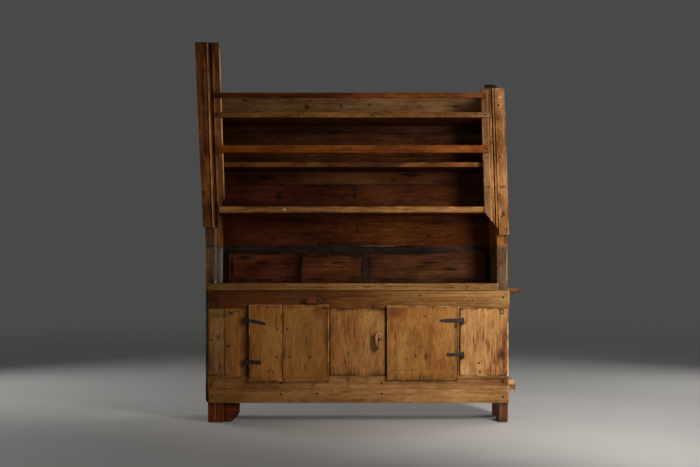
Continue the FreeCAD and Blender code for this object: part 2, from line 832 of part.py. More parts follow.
parts["bottom_shelf"] = notched_shelf(bottom_shelf_top, bottom_shelf_thick, bottom_shelf_set_back,
                                      left_flat_start)
parts["middle_shelf"] = shelf(middle_shelf_top, middle_shelf_thick, side_front + middle_shelf_set_back)
parts["top_shelf"] = notched_shelf(top_shelf_top, top_shelf_thick, flat_front, left_stile_inner)
shelves = [parts[name] for name in ("bottom_shelf", "middle_shelf", "top_shelf")]
parts["rack_side_left"] = rack_side(left_side_outer, left_side_top).cut(shelves)
parts["rack_side_right"] = rack_side(right_side_inner,
                                     right_side_back_top).cut(shelves + [above_right_side()])
parts["rack_stile_left"] = rack_stile_left()
parts["rack_stile_right"] = rack_stile_right()
parts["top_shelf_nosing"] = front_strip(top_shelf_top, top_shelf_thick, right_flat_end - joint_gap)
parts["plate_rail_top"] = front_strip(plate_rail_top_z, plate_rail_top_height,
                                      right_stile_inner + top_rail_lap)
parts["plate_rail_middle"] = front_strip(plate_rail_middle_z, plate_rail_middle_height,
                                         right_stile_inner + right_inner_flat - middle_rail_lap)
parts["rack_back_board_low"] = rack_back_board(base_side_height, rack_back_joint_low)
parts["rack_back_board_middle"] = rack_back_board(rack_back_joint_low, rack_back_joint_high)
parts["rack_back_board_top"] = rack_back_board(rack_back_joint_high, rack_back_top)

parts["left_door_board_hinge"] = door_board(left_door_start, left_door_split - joint_gap,
                                            left_door_bottom, left_door_top)
parts["left_door_board_free"] = door_board(left_door_split, left_door_end, left_door_bottom,
                                           left_door_top)
left_ledges = door_ledge_heights(left_ledge_shares)
right_ledges = door_ledge_heights(right_ledge_shares)
parts["left_door_ledges"] = ledges(left_opening_start, left_opening_end, left_ledges)
parts["right_door_board"] = door_board(right_door_start, right_door_end, right_door_bottom,
                                       right_door_top)
parts["right_door_ledges"] = ledges(right_opening_start, right_opening_end, right_ledges)
for name, hinge in hinges.items():
    parts[name] = strap(*hinge)
parts["hinge_pintles"] = Part.makeCompound(pintles)
left_nails = ledge_nails(left_opening_start, left_opening_end, left_ledges)
for shares, z in zip(left_face_nail_shares, left_ledges):
    for share in shares:
        face_x = left_door_start + (left_door_end - left_door_start) * share
        left_nails.append(nail(face_x, z + ledge_height / 2, door_front, clench_nail))
right_nails = ledge_nails(right_opening_start, right_opening_end, right_ledges)
for name, hinge in hinges.items():
    if name.startswith("left"):
        left_nails += strap_nails(*hinge)
    else:
        right_nails += strap_nails(*hinge)
parts["left_door_nails"] = Part.makeCompound(left_nails)
parts["right_door_nails"] = Part.makeCompound(right_nails)
parts["left_turn_button"] = turn_button(left_button_x, left_button_z, "left", left_button_head,
                                        left_button_head, left_button_arm, left_button_tip)
parts["right_turn_button"] = turn_button(right_button_x, right_button_z, "down", right_button_head,
                                         right_button_tail, right_button_arm, right_button_tip)
parts["button_pivots"] = Part.makeCompound([pivot(x, z) for x, z in pivots])
parts["button_spacers"] = Part.makeCompound([button_spacer(x, z) for x, z in pivots])
parts["front_nails"] = front_face_nails()
parts["rack_nails"] = rack_nails()

# The origin is under the middle of the whole piece
bounds = Part.makeCompound(list(parts.values())).BoundBox
shift = Vector(-bounds.Center.x, -bounds.Center.y, -bounds.ZMin)

os.makedirs("parts", exist_ok=True)
for name, shape in parts.items():
    shape.translated(shift).exportStep("parts/%s.step" % name)
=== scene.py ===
import json
import math
import random
from collections import namedtuple

import bmesh
import bpy
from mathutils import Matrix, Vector, kdtree, noise


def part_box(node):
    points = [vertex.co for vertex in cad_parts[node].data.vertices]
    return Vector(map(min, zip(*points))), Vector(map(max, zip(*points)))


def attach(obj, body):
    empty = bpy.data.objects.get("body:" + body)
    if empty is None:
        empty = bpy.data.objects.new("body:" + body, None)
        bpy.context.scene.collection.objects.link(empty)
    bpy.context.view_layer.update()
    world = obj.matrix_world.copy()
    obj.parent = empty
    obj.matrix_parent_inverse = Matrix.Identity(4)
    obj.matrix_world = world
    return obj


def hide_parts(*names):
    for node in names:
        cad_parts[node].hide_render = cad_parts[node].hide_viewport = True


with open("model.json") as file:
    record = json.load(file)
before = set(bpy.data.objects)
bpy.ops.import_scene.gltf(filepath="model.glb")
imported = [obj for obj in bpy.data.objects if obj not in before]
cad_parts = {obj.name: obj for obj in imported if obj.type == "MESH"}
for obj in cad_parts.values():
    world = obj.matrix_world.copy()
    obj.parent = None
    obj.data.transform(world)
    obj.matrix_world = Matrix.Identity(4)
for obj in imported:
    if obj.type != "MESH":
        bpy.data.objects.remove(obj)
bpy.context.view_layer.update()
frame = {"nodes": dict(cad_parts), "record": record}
slot_of = {entry["node"]: entry["material_slot"] for entry in frame["record"]["subparts"]}
body_of = {name: body for body, names in frame["record"]["behaviour"]["bodies"].items() for name in names}

# Camera, level and in front, in metres, with the photograph's frame in pixels
IMAGE_WIDTH = 700
CAMERA_PLACE = (0.0006, -6.4221, 0.880)
FOCAL_PIXELS = 1087
CENTRE_RIGHT_PIXELS = 8.5
CENTRE_DOWN_PIXELS = 36.5

# Studio: half the floor's side, where the floor turns into plain air, in metres, its tones, and that air
FLOOR_HALF = 300.0
HAZE_START = 3.0
HAZE_END = 13.0
FLOOR_DARK = (0.60, 0.595, 0.585)
FLOOR_LIGHT = (0.64, 0.635, 0.625)
FLOOR_TONE_SCALE = 0.8
FLOOR_ROUGHNESS = 0.75
STUDIO_COLOUR = (0.84, 0.84, 0.83)
STUDIO_STRENGTH = 0.08

# Lights: place and target, width and height in metres, power in watts, colour, spread in degrees
WARM = (1.0, 0.96, 0.90)
SOFT = (1.0, 0.98, 0.95)
NEUTRAL = (1.0, 0.98, 0.96)
Light = namedtuple("Light", "name place target width height power colour spread", defaults=(180,))
lights = (
    Light("key", (1.63, -2.40, 1.55), (1.15, 0.0, 1.05), 0.55, 1.8, 32, WARM, 100),
    Light("fill", (-3.2, -4.2, 2.6), (0.0, 0.0, 1.0), 3.0, 3.0, 8, SOFT),
    Light("front", (0.7, -5.6, 1.9), (0.3, 0.0, 1.1), 2.4, 2.0, 9, SOFT),
    Light("inside", (-1.4, -3.4, 1.3), (0.75, 0.1, 1.3), 1.0, 1.2, 1.2, SOFT, 50),
    Light("left_side", (-3.6, 1.9, 2.3), (-0.8, 0.1, 1.0), 2.2, 2.4, 34, NEUTRAL, 165),
    Light("right_side", (3.6, 1.9, 2.3), (0.8, 0.1, 1.0), 2.2, 2.4, 34, NEUTRAL, 165),
)

# The rack leans to the left from its foot, in metres
RACK_SLOPE = math.tan(math.radians(1.9))
RACK_FOOT = 1.016

# Wear, in metres: how far rubbing and grime reach from an arris, how deep faces sink and arrises chip, the
# scales of that noise, the least noise that chips, and how a board's seed moves it
WEAR_REACH = 0.014
GRIME_REACH = 0.060
FACE_DEPTH = 0.0009
FACE_SCALE = 5.0
CHIP_DEPTH = 0.0035
CHIP_SCALE = 21.0
CHIP_LEAST = 0.12
SEED_SHIFT = (1.7, 0.6, 2.3)

# Joints between tight boards: the share of wear and the tone there, the width of the line and how far out
# boards still join, in metres. Then how dark the painted shade in carved lines is
JOINT_SHARE = 0.42
JOINT_TONE = 0.30
JOINT_LINE = 0.0044
FREE_END = 0.854
CARVED_PAINTED_SHADE = 0.8

# How finely boards are cut, in metres, and how far the cuts stray from even steps
CUT_ALONG = 0.034
CUT_ACROSS = 0.055
CUT_STRAY = 0.25

# Carved lines, in metres: half the width, how far and how often a line wanders, where its noise starts, how
# deep its vertices may lie, then the shares of its full depth and of its painted shade
CRACK_HALF = 0.0018
CRACK_WANDER = 0.005
CRACK_SCALE = 11.0
CRACK_SHIFT = 50
CRACK_FACE = 0.006
CRACK_DEPTHS = (0.55, 1.0)
CRACK_PAINTED_SHADES = (0.7, 1.0)

# Rot, in metres: how finely it is cut and how deep its vertices may lie, then the scale of its fibres along x,
# up and across, the layer of noise, what is added to it, and how fast it deepens from its left end
ROT_PITCH = 0.006
ROT_FACE = 0.004
ROT_SCALE_X = 95
ROT_SCALE_UP = 60
ROT_SCALE_ACROSS = 45
ROT_LAYER = 3.0
ROT_LEAST = 0.25
ROT_RISE = 2.5

# Where in the log a board was cut, in metres: along the grain, across it and into it, drawn between these
LOG_ALONG = (-9, 9)
LOG_ACROSS = (-0.12, 0.12)
LOG_DEPTH = (0.02, 0.08)

# Planks turn red towards the floor: the height where it starts and how far below it is full, in metres
FOOT_TOP = 0.26
FOOT_FADE = 0.06
FOOT_COLOUR = (0.75, 0.34, 0.18)

# Meshes: angles in radians that make an arris, a hard shading edge and a flat face, and lengths in metres
ARRIS_ANGLE = 0.6
HARD_ANGLE = 0.7
FLAT_ANGLE = 0.01
ARRIS_STEP = 0.006
ARRIS_PROFILE = 0.6
MERGE = 1e-5
SLICE = 1e-6
EDGE_SNAP = 1e-4
BUMP_HEIGHT = 0.0014
MILLIMETRE = 0.001
X_AXIS, Y_AXIS, Z_AXIS = Vector((1, 0, 0)), Vector((0, 1, 0)), Vector((0, 0, 1))
WHITE = Vector((1, 1, 1))

# Hammered straps, in metres: rounding, cuts along and up, depth of the blows on the face and at the arrises
STRAP_ARRIS = 0.0009
STRAP_CUTS = ((X_AXIS, 0.009), (Z_AXIS, 0.006))
STRAP_MARGIN = 0.002
STRAP_REACH = 0.004
STRAP_BLOW = 0.0005
STRAP_EDGE_BLOW = 0.0011
STRAP_SCALE = 60.0

# Heads of the hand-made nails that hold the rear boards to the side planks: how far up each board they are,
# their lines at the left and right plank, how far they stray, their rings as (radius, height off the board),
# and how uneven those are
REAR_NAIL_SHARES = (0.22, 0.76)
REAR_NAIL_LINES = (-0.8469, 0.8253)
NAIL_STRAY_UP = 0.012
NAIL_STRAY_ASIDE = 0.006
NAIL_RINGS = ((0.0048, -0.0020), (0.0054, 0.0002), (0.0028, 0.0018))
NAIL_UNEVEN = (0.85, 1.15)
NAIL_SIDES = 7
NAIL_PEAK = 0.0023

# First seeds of the random draws
BOARD_SEED = 1
STRAP_SEED = 101
NAIL_SEED = 201


# Node trees
def node(tree, kind, inputs=None, **settings):
    made = tree.nodes.new(kind)
    for name, value in settings.items():
        setattr(made, name, value)
    for name, value in (inputs or {}).items():
        if isinstance(value, bpy.types.NodeSocket):
            tree.links.new(value, made.inputs[name])
        else:
            made.inputs[name].default_value = value
    return made


def calc(tree, operation, first, second=0.0, third=0.0):
    return node(tree, "ShaderNodeMath", {0: first, 1: second, 2: third}, operation=operation).outputs[0]


def times(tree, first, second):
    return calc(tree, "MULTIPLY", first, second)


def vector_calc(tree, operation, *values):
    return node(tree, "ShaderNodeVectorMath", dict(enumerate(values)), operation=operation)


def weighted(tree, start, terms):
    total = start
    for value, weight in terms:
        total = calc(tree, "MULTIPLY_ADD", value, weight, total)
    return total


def stretch(tree, vector, along, across):
    return vector_calc(tree, "MULTIPLY", vector, (along, across, across)).outputs[0]


def cloud(tree, vector, along, across, detail=3.0, rough=0.55):
    made = node(tree, "ShaderNodeTexNoise", {"Vector": stretch(tree, vector, along, across), "Scale": 1.0,
                                             "Detail": detail, "Roughness": rough})
    return made.outputs[0]


def cells(tree, vector, pitch):
    made = node(tree, "ShaderNodeTexVoronoi", {"Vector": stretch(tree, vector, pitch, pitch), "Scale": 1.0},
                voronoi_dimensions="2D")
    parts = node(tree, "ShaderNodeSeparateColor", {0: made.outputs["Color"]}).outputs
    return made.outputs["Distance"], parts


def step(tree, value, low, high, start=0.0, end=1.0):
    made = node(tree, "ShaderNodeMapRange", {0: value, 1: low, 2: high, 3: start, 4: end},
                interpolation_type="SMOOTHSTEP")
    return made.outputs[0]


def blend(tree, factor, first, second, mode="MIX"):
    made = node(tree, "ShaderNodeMix", data_type="RGBA", blend_type=mode)
    tree.links.new(factor, made.inputs[0])
    for index, value in ((6, first), (7, second)):
        if isinstance(value, bpy.types.NodeSocket):
            tree.links.new(value, made.inputs[index])
        else:
            made.inputs[index].default_value = (*value, 1.0)
    return made.outputs[2]


def ramp(tree, factor, stops):
    made = node(tree, "ShaderNodeValToRGB", {0: factor})
    elements = made.color_ramp.elements
    while len(elements) < len(stops):
        elements.new(0.5)
    for element, (place, colour) in zip(elements, stops):
        element.position = place
        element.color = (*colour, 1.0)
    return made.outputs[0]


def attribute(tree, name):
    return node(tree, "ShaderNodeAttribute", attribute_name=name).outputs["Vector"]


def object_place(tree):
    return node(tree, "ShaderNodeTexCoord").outputs["Object"]


def split_vector(tree, vector):
    return node(tree, "ShaderNodeSeparateXYZ", {0: vector}).outputs


def add_bump(tree, shader, strength, relief):
    bump = node(tree, "ShaderNodeBump", {"Strength": strength, "Distance": BUMP_HEIGHT, "Height": relief})
    tree.links.new(bump.outputs[0], shader.inputs["Normal"])


def new_material(name):
    material = bpy.data.materials.new(name)
    material.use_nodes = True
    tree = material.node_tree
    return material, tree, tree.nodes["Principled BSDF"]


def scaled(colour, factor):
    return tuple(min(1.0, factor * value) for value in colour)


# Marks that the photograph shows at one place: (x, z, half width, half height) in millimetres
marks = {
    "door": {
        "dark": [(-299, 565, 4.6, 14), (-301, 473, 4.6, 20), (-303, 325, 5, 29), (-520, 299, 12, 5),
                 (-500, 309, 15, 4), (-489, 294, 10, 5), (-523, 668, 4.6, 14), (210, 508, 4, 34),
                 (207, 410, 3.4, 52), (473, 319, 3.4, 17), (530, 307, 3.4, 23), (513, 302, 2.9, 17),
                 (278, 365, 13, 4), (353, 439, 17, 3), (-25, 535, 4, 46), (-14, 432, 3.4, 46),
                 (-45, 495, 2.9, 29), (32, 449, 2.9, 40), (67, 535, 2.9, 35)],
        "knot": [(327, 388, 7, 7.5), (385, 382, 8.6, 17), (379, 614, 5.2, 5.7)],
        "red": [(195, 638, 95, 52), (190, 560, 20, 60), (-403, 674, 57, 23)],
        "grey": [(210, 273, 20, 17)],
        # Brown stains at the doors' top corners; on the left door partly the painted shadow of the turn button
        "brown": [(188, 642, 95, 50), (-215, 642, 62, 45)],
    },
    "pale": {
        "dark": [(661, 478, 5, 35), (670, 437, 4.4, 40), (734, 466, 4.4, 29), (716, 506, 3.9, 40),
                 (751, 449, 3.9, 40), (768, 409, 3.9, 46), (783, 363, 5, 40), (699, 535, 3.6, 29),
                 (797, 478, 2.9, 46), (728, 351, 3.4, 40), (760, 328, 4, 35), (817, 606, 7, 3)],
        "knot": [(823, 394, 7, 14)],
        "ring": [(825, 641, 13, 13)],
        "red": [(837, 449, 22, 127), (739, 299, 58, 23)],
        "plum": [(820, 391, 30, 38)],
    },
    "honey": {
        "dark": [(-850, 737, 14, 7), (-848, 712, 8, 5), (658, 705, 3, 14), (-796, 328, 5, 29),
                 (-810, 489, 4, 23), (-773, 322, 7, 12), (832, 244, 13, 11), (49, 782, 23, 4.6),
                 (276, 780, 6, 4), (-735, 632, 17, 9), (-772, 616, 15, 9), (-700, 645, 22, 5),
                 (534, 780, 23, 4), (732, 778, 7, 4)],
        "knot": [(-847, 506, 5.2, 5.2), (-747, 443, 6.3, 8.6)],
        "red": [(739, 242, 69, 26), (772, 780, 29, 14)],
        "plum": [(829, 240, 40, 30)],
        "grey": [(-824, 621, 52, 23), (-750, 633, 40, 20), (-842, 351, 23, 46), (-846, 712, 22, 50)],
        "pale": [(-425, 1229, 9, 6)],
    },
    "plank": {
        "dark": [(803, 893, 4, 9), (836, 92, 6, 9)],
        "plum": [(838, 18, 26, 24)],
        "red": [(846, 64, 14, 24), (822, 925, 30, 24), (-866, 850, 24, 60), (845, 960, 10, 24)],
        "grey": [(818, 980, 26, 27), (-838, 985, 16, 20)],
        "pale": [(858, 905, 3.4, 100), (824, 1015, 34, 2.2), (-826, 811, 8, 8)],
    },
    "rack": {
        "dark": [(833, 1202, 12, 18), (818, 1358, 34, 10), (747, 1359, 17, 7), (741, 1526, 17, 3),
                 (851, 1116, 9, 7), (-887, 1316, 20, 23)],
        "knot": [(730, 1644, 4.6, 4.6)],
        "pale": [(819, 1872, 18, 2)],
    },
    "rear": {
        "dark": [(-487, 1330, 30, 30), (-25, 1331, 10, 24), (-560, 1440, 60, 14), (330, 1460, 90, 12)],
        "olive": [(271, 1687, 190, 26), (213, 1566, 140, 30), (-236, 1308, 120, 20), (20, 1385, 200, 90),
                  (-90, 1450, 120, 30), (120, 1130, 300, 60)],
        "red": [(-690, 1440, 110, 40), (-600, 1160, 160, 60)],
    },
    "panel": {
        "dark": [(-352, 925, 20, 60), (-352, 975, 60, 16), (300, 978, 240, 9), (-560, 978, 200, 9),
                 (-770, 900, 14, 80), (40, 880, 26, 80), (-590, 925, 44, 14), (-690, 955, 50, 16),
                 (-130, 925, 46, 9), (-200, 900, 30, 7), (430, 925, 70, 9), (560, 885, 50, 12),
                 (-250, 822, 60, 9), (250, 822, 150, 8), (-600, 820, 90, 8)],
        "red": [(-640, 870, 70, 40), (-440, 920, 60, 28), (-160, 865, 70, 30), (180, 880, 60, 40)],
        "olive": [(330, 890, 230, 60), (-150, 880, 120, 50)],
    },
    "frame": {
        # Painted highlight along the band rail's top arris, with some rubbed wear
        "pale": [(129, 1026, 120, 1.8)],
    },
    "grey": {
        "knot": [(-691, 1914, 12, 7), (-315, 1874, 15, 14), (-106, 1877, 9, 8.5), (68, 1886, 8.5, 8),
                 (595, 1875, 8, 7.3), (623, 1874, 7.3, 7.3)],
    },
}

# Kinds of mark, in the order they are laid on: how they blend, their colour, whether it is a share of the
# look's dark colour, the ring they lie on, where they are full and where they end, all three in half sizes,
# and their strength
MarkKind = namedtuple("MarkKind", "name mode colour of_dark ring full end strength")
mark_kinds = (
    MarkKind("red", "MULTIPLY", (0.62, 0.38, 0.22), False, 0.0, 0.2, 1.3, 0.70),
    MarkKind("plum", "MULTIPLY", (0.50, 0.36, 0.50), False, 0.0, 0.2, 1.3, 0.85),
    MarkKind("brown", "MULTIPLY", (0.42, 0.30, 0.24), False, 0.0, 0.2, 1.3, 0.60),
    MarkKind("olive", "MULTIPLY", (1.30, 1.55, 1.05), False, 0.0, 0.2, 1.3, 0.80),
    MarkKind("grey", "MIX", (0.085, 0.052, 0.023), False, 0.0, 0.2, 1.2, 0.55),
    MarkKind("dark", "MIX", (0.40, 0.40, 0.40), True, 0.0, 0.3, 1.25, 0.85),
    MarkKind("knot", "MULTIPLY", (0.75, 0.50, 0.36), False, 0.0, 1.0, 2.4, 0.45),
    MarkKind("knot", "MIX", (0.45, 0.33, 0.33), True, 0.0, 0.6, 1.15, 0.85),
    MarkKind("ring", "MIX", (0.35, 0.35, 0.35), True, 0.8, 0.15, 0.55, 0.80),
    MarkKind("pale", "MIX", (0.74, 0.56, 0.36), False, 0.0, 0.6, 1.1, 0.90),
)

# Marks show on the faces in front of these depths, in metres, and their outlines wobble by this much
FRONT_MARKS = -0.136
mark_limits = {"rear": 0.212, "panel": 0.196, "frame": 0.196, "grey": 0.250}
MARK_EDGE = 0.004
WOBBLE = (0.007, 0.0, 0.012)
HALF_WOBBLE = (0.0035, 0.0, 0.006)
WOBBLE_SCALE = 55.0


def nearest_mark(tree, place, listed):
    best = None
    for x, z, half_width, half_height in listed:
        scale = (1 / (half_width * MILLIMETRE), 0.0, 1 / (half_height * MILLIMETRE))
        offset = (-x / half_width, 0.0, -z / half_height)
        moved = vector_calc(tree, "MULTIPLY_ADD", place, scale, offset).outputs[0]
        reach = vector_calc(tree, "LENGTH", moved).outputs["Value"]
        best = reach if best is None else calc(tree, "MINIMUM", best, reach)
    return best


def mark_place(tree, look):
    place = object_place(tree)
    limit = mark_limits.get(look, FRONT_MARKS)
    front = step(tree, split_vector(tree, place)[1], limit, limit + MARK_EDGE, 1.0, 0.0)
    wobble = node(tree, "ShaderNodeTexNoise", {"Vector": place, "Scale": WOBBLE_SCALE, "Detail": 2.0})
    moved = vector_calc(tree, "MULTIPLY_ADD", wobble.outputs["Color"], WOBBLE, place).outputs[0]
    return vector_calc(tree, "SUBTRACT", moved, HALF_WOBBLE).outputs[0], front


def lay_mark(tree, colour, kind, reach, front, dark):
    if kind.ring:
        reach = calc(tree, "ABSOLUTE", calc(tree, "SUBTRACT", reach, kind.ring))
    fade = times(tree, front, step(tree, reach, kind.full, kind.end, kind.strength, 0.0))
    stain = tuple(share * tone for share, tone in zip(kind.colour, dark)) if kind.of_dark else kind.colour
    return blend(tree, fade, colour, stain, kind.mode)


def draw_marks(tree, colour, look, dark):
    listed = marks.get(look, {})
    if not listed:
        return colour
    place, front = mark_place(tree, look)
    reaches = {name: nearest_mark(tree, place, places) for name, places in listed.items()}
    for kind in mark_kinds:
        if kind.name in reaches:
            colour = lay_mark(tree, colour, kind, reaches[kind.name], front, dark)
    return colour


# Wood, drawn in each board's own coordinates: along the grain, across it, into the board.
# A layer is noise: how often it changes in a metre along and across, its detail and roughness, the part of
# its range that is used, and the values it is spread to.
Layer = namedtuple("Layer", "along across detail rough low high start end", defaults=(-0.5, 0.5))
FIBRE = Layer(26.0, 480.0, 3.0, 0.62, 0.28, 0.72)
STREAKS = Layer(2.6, 75.0, 4.0, 0.62, 0.34, 0.70, -0.45, 0.55)
BLOTCH = Layer(3.2, 7.5, 5.0, 0.62, 0.30, 0.70)
MOTTLE = Layer(17.0, 60.0, 4.0, 0.65, 0.30, 0.70)
PATINA = Layer(1.1, 2.2, 2.0, 0.55, 0.33, 0.67)
SOOT = Layer(4.0, 9.0, 4.0, 0.55, 0.35, 0.65, 0.0, 1.0)
RUST = Layer(2.1, 5.0, 4.0, 0.55, 0.52, 0.70, 0.0, 1.0)
FLECK = Layer(9.0, 110.0, 2.0, 0.55, 0.66, 0.74, 0.0, 0.8)
SPECK = Layer(42.0, 130.0, 2.0, 0.55, 0.64, 0.76, 0.0, 0.6)
RING_SHARE = Layer(2.0, 11.0, 2.0, 0.55, 0.38, 0.66, 0.1, 1.0)
CRACK_SHARE = Layer(1.6, 8.0, 2.0, 0.55, 0.56, 0.66, 0.0, 1.0)
DIRT = Layer(9.0, 16.0, 3.0, 0.55, 0.40, 0.62, 0.0, 1.0)
RUBBED = Layer(5.0, 9.0, 4.0, 0.55, 0.46, 0.60, 0.0, 1.0)

# Knots and worm holes: cells in a metre, the least size of a knot and how much it varies in shares of a cell,
# and the share of cells with a hole. Then the year rings in a metre, the colour of red patches, and the names
# of the data that each board keeps for its material
KNOT_CELLS = 4.0
KNOT_LEAST = 0.014
KNOT_VARIES = 0.035
WORM_CELLS = 26.0
WORM_SHARE = 0.10
RINGS_PER_METRE = 150.0
RUST_COLOUR = (0.72, 0.44, 0.30)
BOARD_DATA = ("grain", "wear", "tint")

# Looks: light, middle and dark colour, then the weight of rings and streaks, the share of knots, the strength
# of grime and of red patches, roughness, gloss, and how far the arrises are rubbed
Look = namedtuple("Look", "light middle dark ring streak knots grime red rough shine rub",
                  defaults=(1.0, 1.0, 0.3, 0.6, 0.35, 0.55, 0.13, 0.6))
woods = {
    "honey": Look((0.50, 0.245, 0.082), (0.335, 0.142, 0.038), (0.135, 0.050, 0.012)),
    "door": Look((0.52, 0.260, 0.085), (0.370, 0.160, 0.042), (0.150, 0.056, 0.013),
                 ring=0.7, streak=0.3, knots=0.15, red=0.55, rub=0.45),
    "pale": Look((0.60, 0.335, 0.140), (0.430, 0.210, 0.070), (0.140, 0.055, 0.017), red=0.4, rub=0.9),
    "rack": Look((0.50, 0.230, 0.075), (0.310, 0.120, 0.028), (0.110, 0.037, 0.008),
                 red=0.4, rough=0.58, shine=0.10),
    "plank": Look((0.40, 0.270, 0.160), (0.230, 0.135, 0.068), (0.090, 0.046, 0.020), red=0.2, rub=0.2),
    "foot": Look((0.30, 0.085, 0.022), (0.170, 0.042, 0.010), (0.060, 0.015, 0.004), red=0.5),
    "rear": Look((0.23, 0.085, 0.022), (0.120, 0.038, 0.009), (0.040, 0.012, 0.003),
                 red=0.4, grime=0.4, rough=0.72, shine=0.07),
    "grey": Look((0.30, 0.185, 0.100), (0.190, 0.105, 0.050), (0.080, 0.038, 0.017),
                 knots=0.12, red=0.25, shine=0.07),
    "panel": Look((0.24, 0.088, 0.025), (0.130, 0.042, 0.011), (0.040, 0.013, 0.004),
                  red=0.4, grime=1.3, rough=0.68, shine=0.08),
    "frame": Look((0.100, 0.062, 0.036), (0.030, 0.019, 0.012), (0.010, 0.008, 0.006),
                  knots=0.1, red=0.3, rough=0.72, shine=0.08),
    "button": Look((0.46, 0.250, 0.100), (0.280, 0.125, 0.040), (0.110, 0.042, 0.012), knots=0.0),
}


def layer(tree, grain, kind):
    value = cloud(tree, grain, kind.along, kind.across, kind.detail, kind.rough)
    return step(tree, value, kind.low, kind.high, kind.start, kind.end)


def knot_parts(tree, grain, share):
    distance, (pick, size, shade) = cells(tree, grain, KNOT_CELLS)
    chosen = calc(tree, "LESS_THAN", pick, share)
    reach = calc(tree, "DIVIDE", distance, calc(tree, "MULTIPLY_ADD", size, KNOT_VARIES, KNOT_LEAST))
    core = times(tree, step(tree, reach, 0.6, 1.0, 1.0, 0.0), chosen)
    halo = times(tree, step(tree, reach, 0.8, 4.5, 1.0, 0.0), chosen)
    pupil = times(tree, step(tree, reach, 0.15, 0.5, 0.6, 0.0), times(tree, chosen, shade))
    return core, halo, pupil


def year_rings(tree, grain, halo):
    across, depth = split_vector(tree, grain)[1:3]
    squares = calc(tree, "ADD", calc(tree, "POWER", across, 2.0), calc(tree, "POWER", depth, 2.0))
    pith = calc(tree, "SQRT", squares)
    bowed = weighted(tree, pith, [(cloud(tree, grain, 0.9, 5.0, 2.0), 0.075),
                                  (cloud(tree, grain, 6.0, 26.0, 2.0), 0.008), (halo, 0.016)])
    phase = calc(tree, "FRACT", times(tree, bowed, RINGS_PER_METRE))
    late = times(tree, step(tree, phase, 0.2, 0.85), step(tree, phase, 0.9, 1.0, 1.0, 0.0))
    return times(tree, late, layer(tree, grain, RING_SHARE))


def drying_cracks(tree, grain):
    off = calc(tree, "ABSOLUTE", calc(tree, "SUBTRACT", cloud(tree, grain, 0.6, 15.0, 1.0), 0.5))
    return times(tree, step(tree, off, 0.003, 0.010, 1.0, 0.0), layer(tree, grain, CRACK_SHARE))


def worm_holes(tree, grain):
    distance, parts = cells(tree, grain, WORM_CELLS)
    chosen = calc(tree, "LESS_THAN", parts[0], WORM_SHARE)
    return times(tree, step(tree, distance, 0.04, 0.09, 1.0, 0.0), chosen)


def bare_wood(tree, grain, look, border, rings, fibre, blotch):
    soot = times(tree, step(tree, border, 0.0, 1.0), layer(tree, grain, SOOT))
    streaks = layer(tree, grain, STREAKS)
    shading = weighted(tree, 0.30, [(rings, 0.26 * look.ring), (streaks, 0.26 * look.streak), (blotch, 0.34),
                                    (fibre, 0.24), (layer(tree, grain, PATINA), 0.20),
                                    (soot, 0.34 * look.grime), (layer(tree, grain, MOTTLE), 0.24)])
    colour = ramp(tree, shading, [(0.0, look.light), (0.40, look.middle), (0.78, look.dark),
                                  (1.0, scaled(look.dark, 0.45))])
    return blend(tree, layer(tree, grain, RUST._replace(end=look.red)), colour, RUST_COLOUR, "MULTIPLY")


def used_wood(tree, grain, look, colour, edge, foot):
    dirt = times(tree, step(tree, edge, 0.1, 0.6), layer(tree, grain, DIRT))
    colour = blend(tree, times(tree, dirt, look.grime), colour, scaled(look.dark, 0.45))
    rubbed = times(tree, step(tree, edge, 0.45, 0.85), layer(tree, grain, RUBBED))
    colour = blend(tree, times(tree, rubbed, look.rub), colour, scaled(look.light, 1.35))
    return blend(tree, foot, colour, FOOT_COLOUR, "MULTIPLY")


def pine(name, look):
    material, tree, shader = new_material(name + "_pine")
    grain, wear, tint = (attribute(tree, kind) for kind in BOARD_DATA)
    edge, border, foot = split_vector(tree, wear)
    core, halo, pupil = knot_parts(tree, grain, look.knots)
    rings = year_rings(tree, grain, halo)
    fibre = layer(tree, grain, FIBRE)
    blotch = layer(tree, grain, BLOTCH)
    fleck = layer(tree, grain, FLECK)
    crack = drying_cracks(tree, grain)
    hole = worm_holes(tree, grain)
    specks = calc(tree, "MAXIMUM", fleck, layer(tree, grain, SPECK))
    colour = bare_wood(tree, grain, look, border, rings, fibre, blotch)
    darker = ((specks, 0.4), (times(tree, halo, 0.35), 1.0), (times(tree, core, 0.8), 0.30), (pupil, 1.0),
              (times(tree, crack, 0.75), 0.25), (times(tree, hole, 0.85), 0.12))
    for factor, share in darker:
        colour = blend(tree, factor, colour, scaled(look.dark, share))
    colour = draw_marks(tree, colour, name, look.dark)
    colour = used_wood(tree, grain, look, colour, edge, foot)
    tree.links.new(vector_calc(tree, "MULTIPLY", colour, tint).outputs[0], shader.inputs["Base Color"])
    roughness = step(tree, blotch, -0.5, 0.5, look.rough - 0.1, look.rough + 0.16)
    tree.links.new(roughness, shader.inputs["Roughness"])
    shader.inputs["Specular IOR Level"].default_value = look.shine
    relief = weighted(tree, 0.0, [(fibre, 0.5), (rings, -0.3), (crack, -1.0), (hole, -1.0), (fleck, -0.6),
                                  (core, -0.3), (cloud(tree, grain, 14.0, 20.0), 0.8)])
    add_bump(tree, shader, 0.55, relief)
    return material


# Iron: dark scale, light scale and rust, then how metallic and how glossy it is
Iron = namedtuple("Iron", "dark light rust metal shine")
irons = {
    "forged_iron": Iron((0.014, 0.0105, 0.0090), (0.050, 0.039, 0.034), (0.080, 0.034, 0.017), 0.7, 0.4),
    "nail_iron": Iron((0.026, 0.012, 0.007), (0.064, 0.032, 0.016), (0.070, 0.028, 0.012), 0.1, 0.15),
    "rusty_iron": Iron((0.050, 0.022, 0.010), (0.110, 0.052, 0.022), (0.095, 0.036, 0.014), 0.0, 0.15),
}


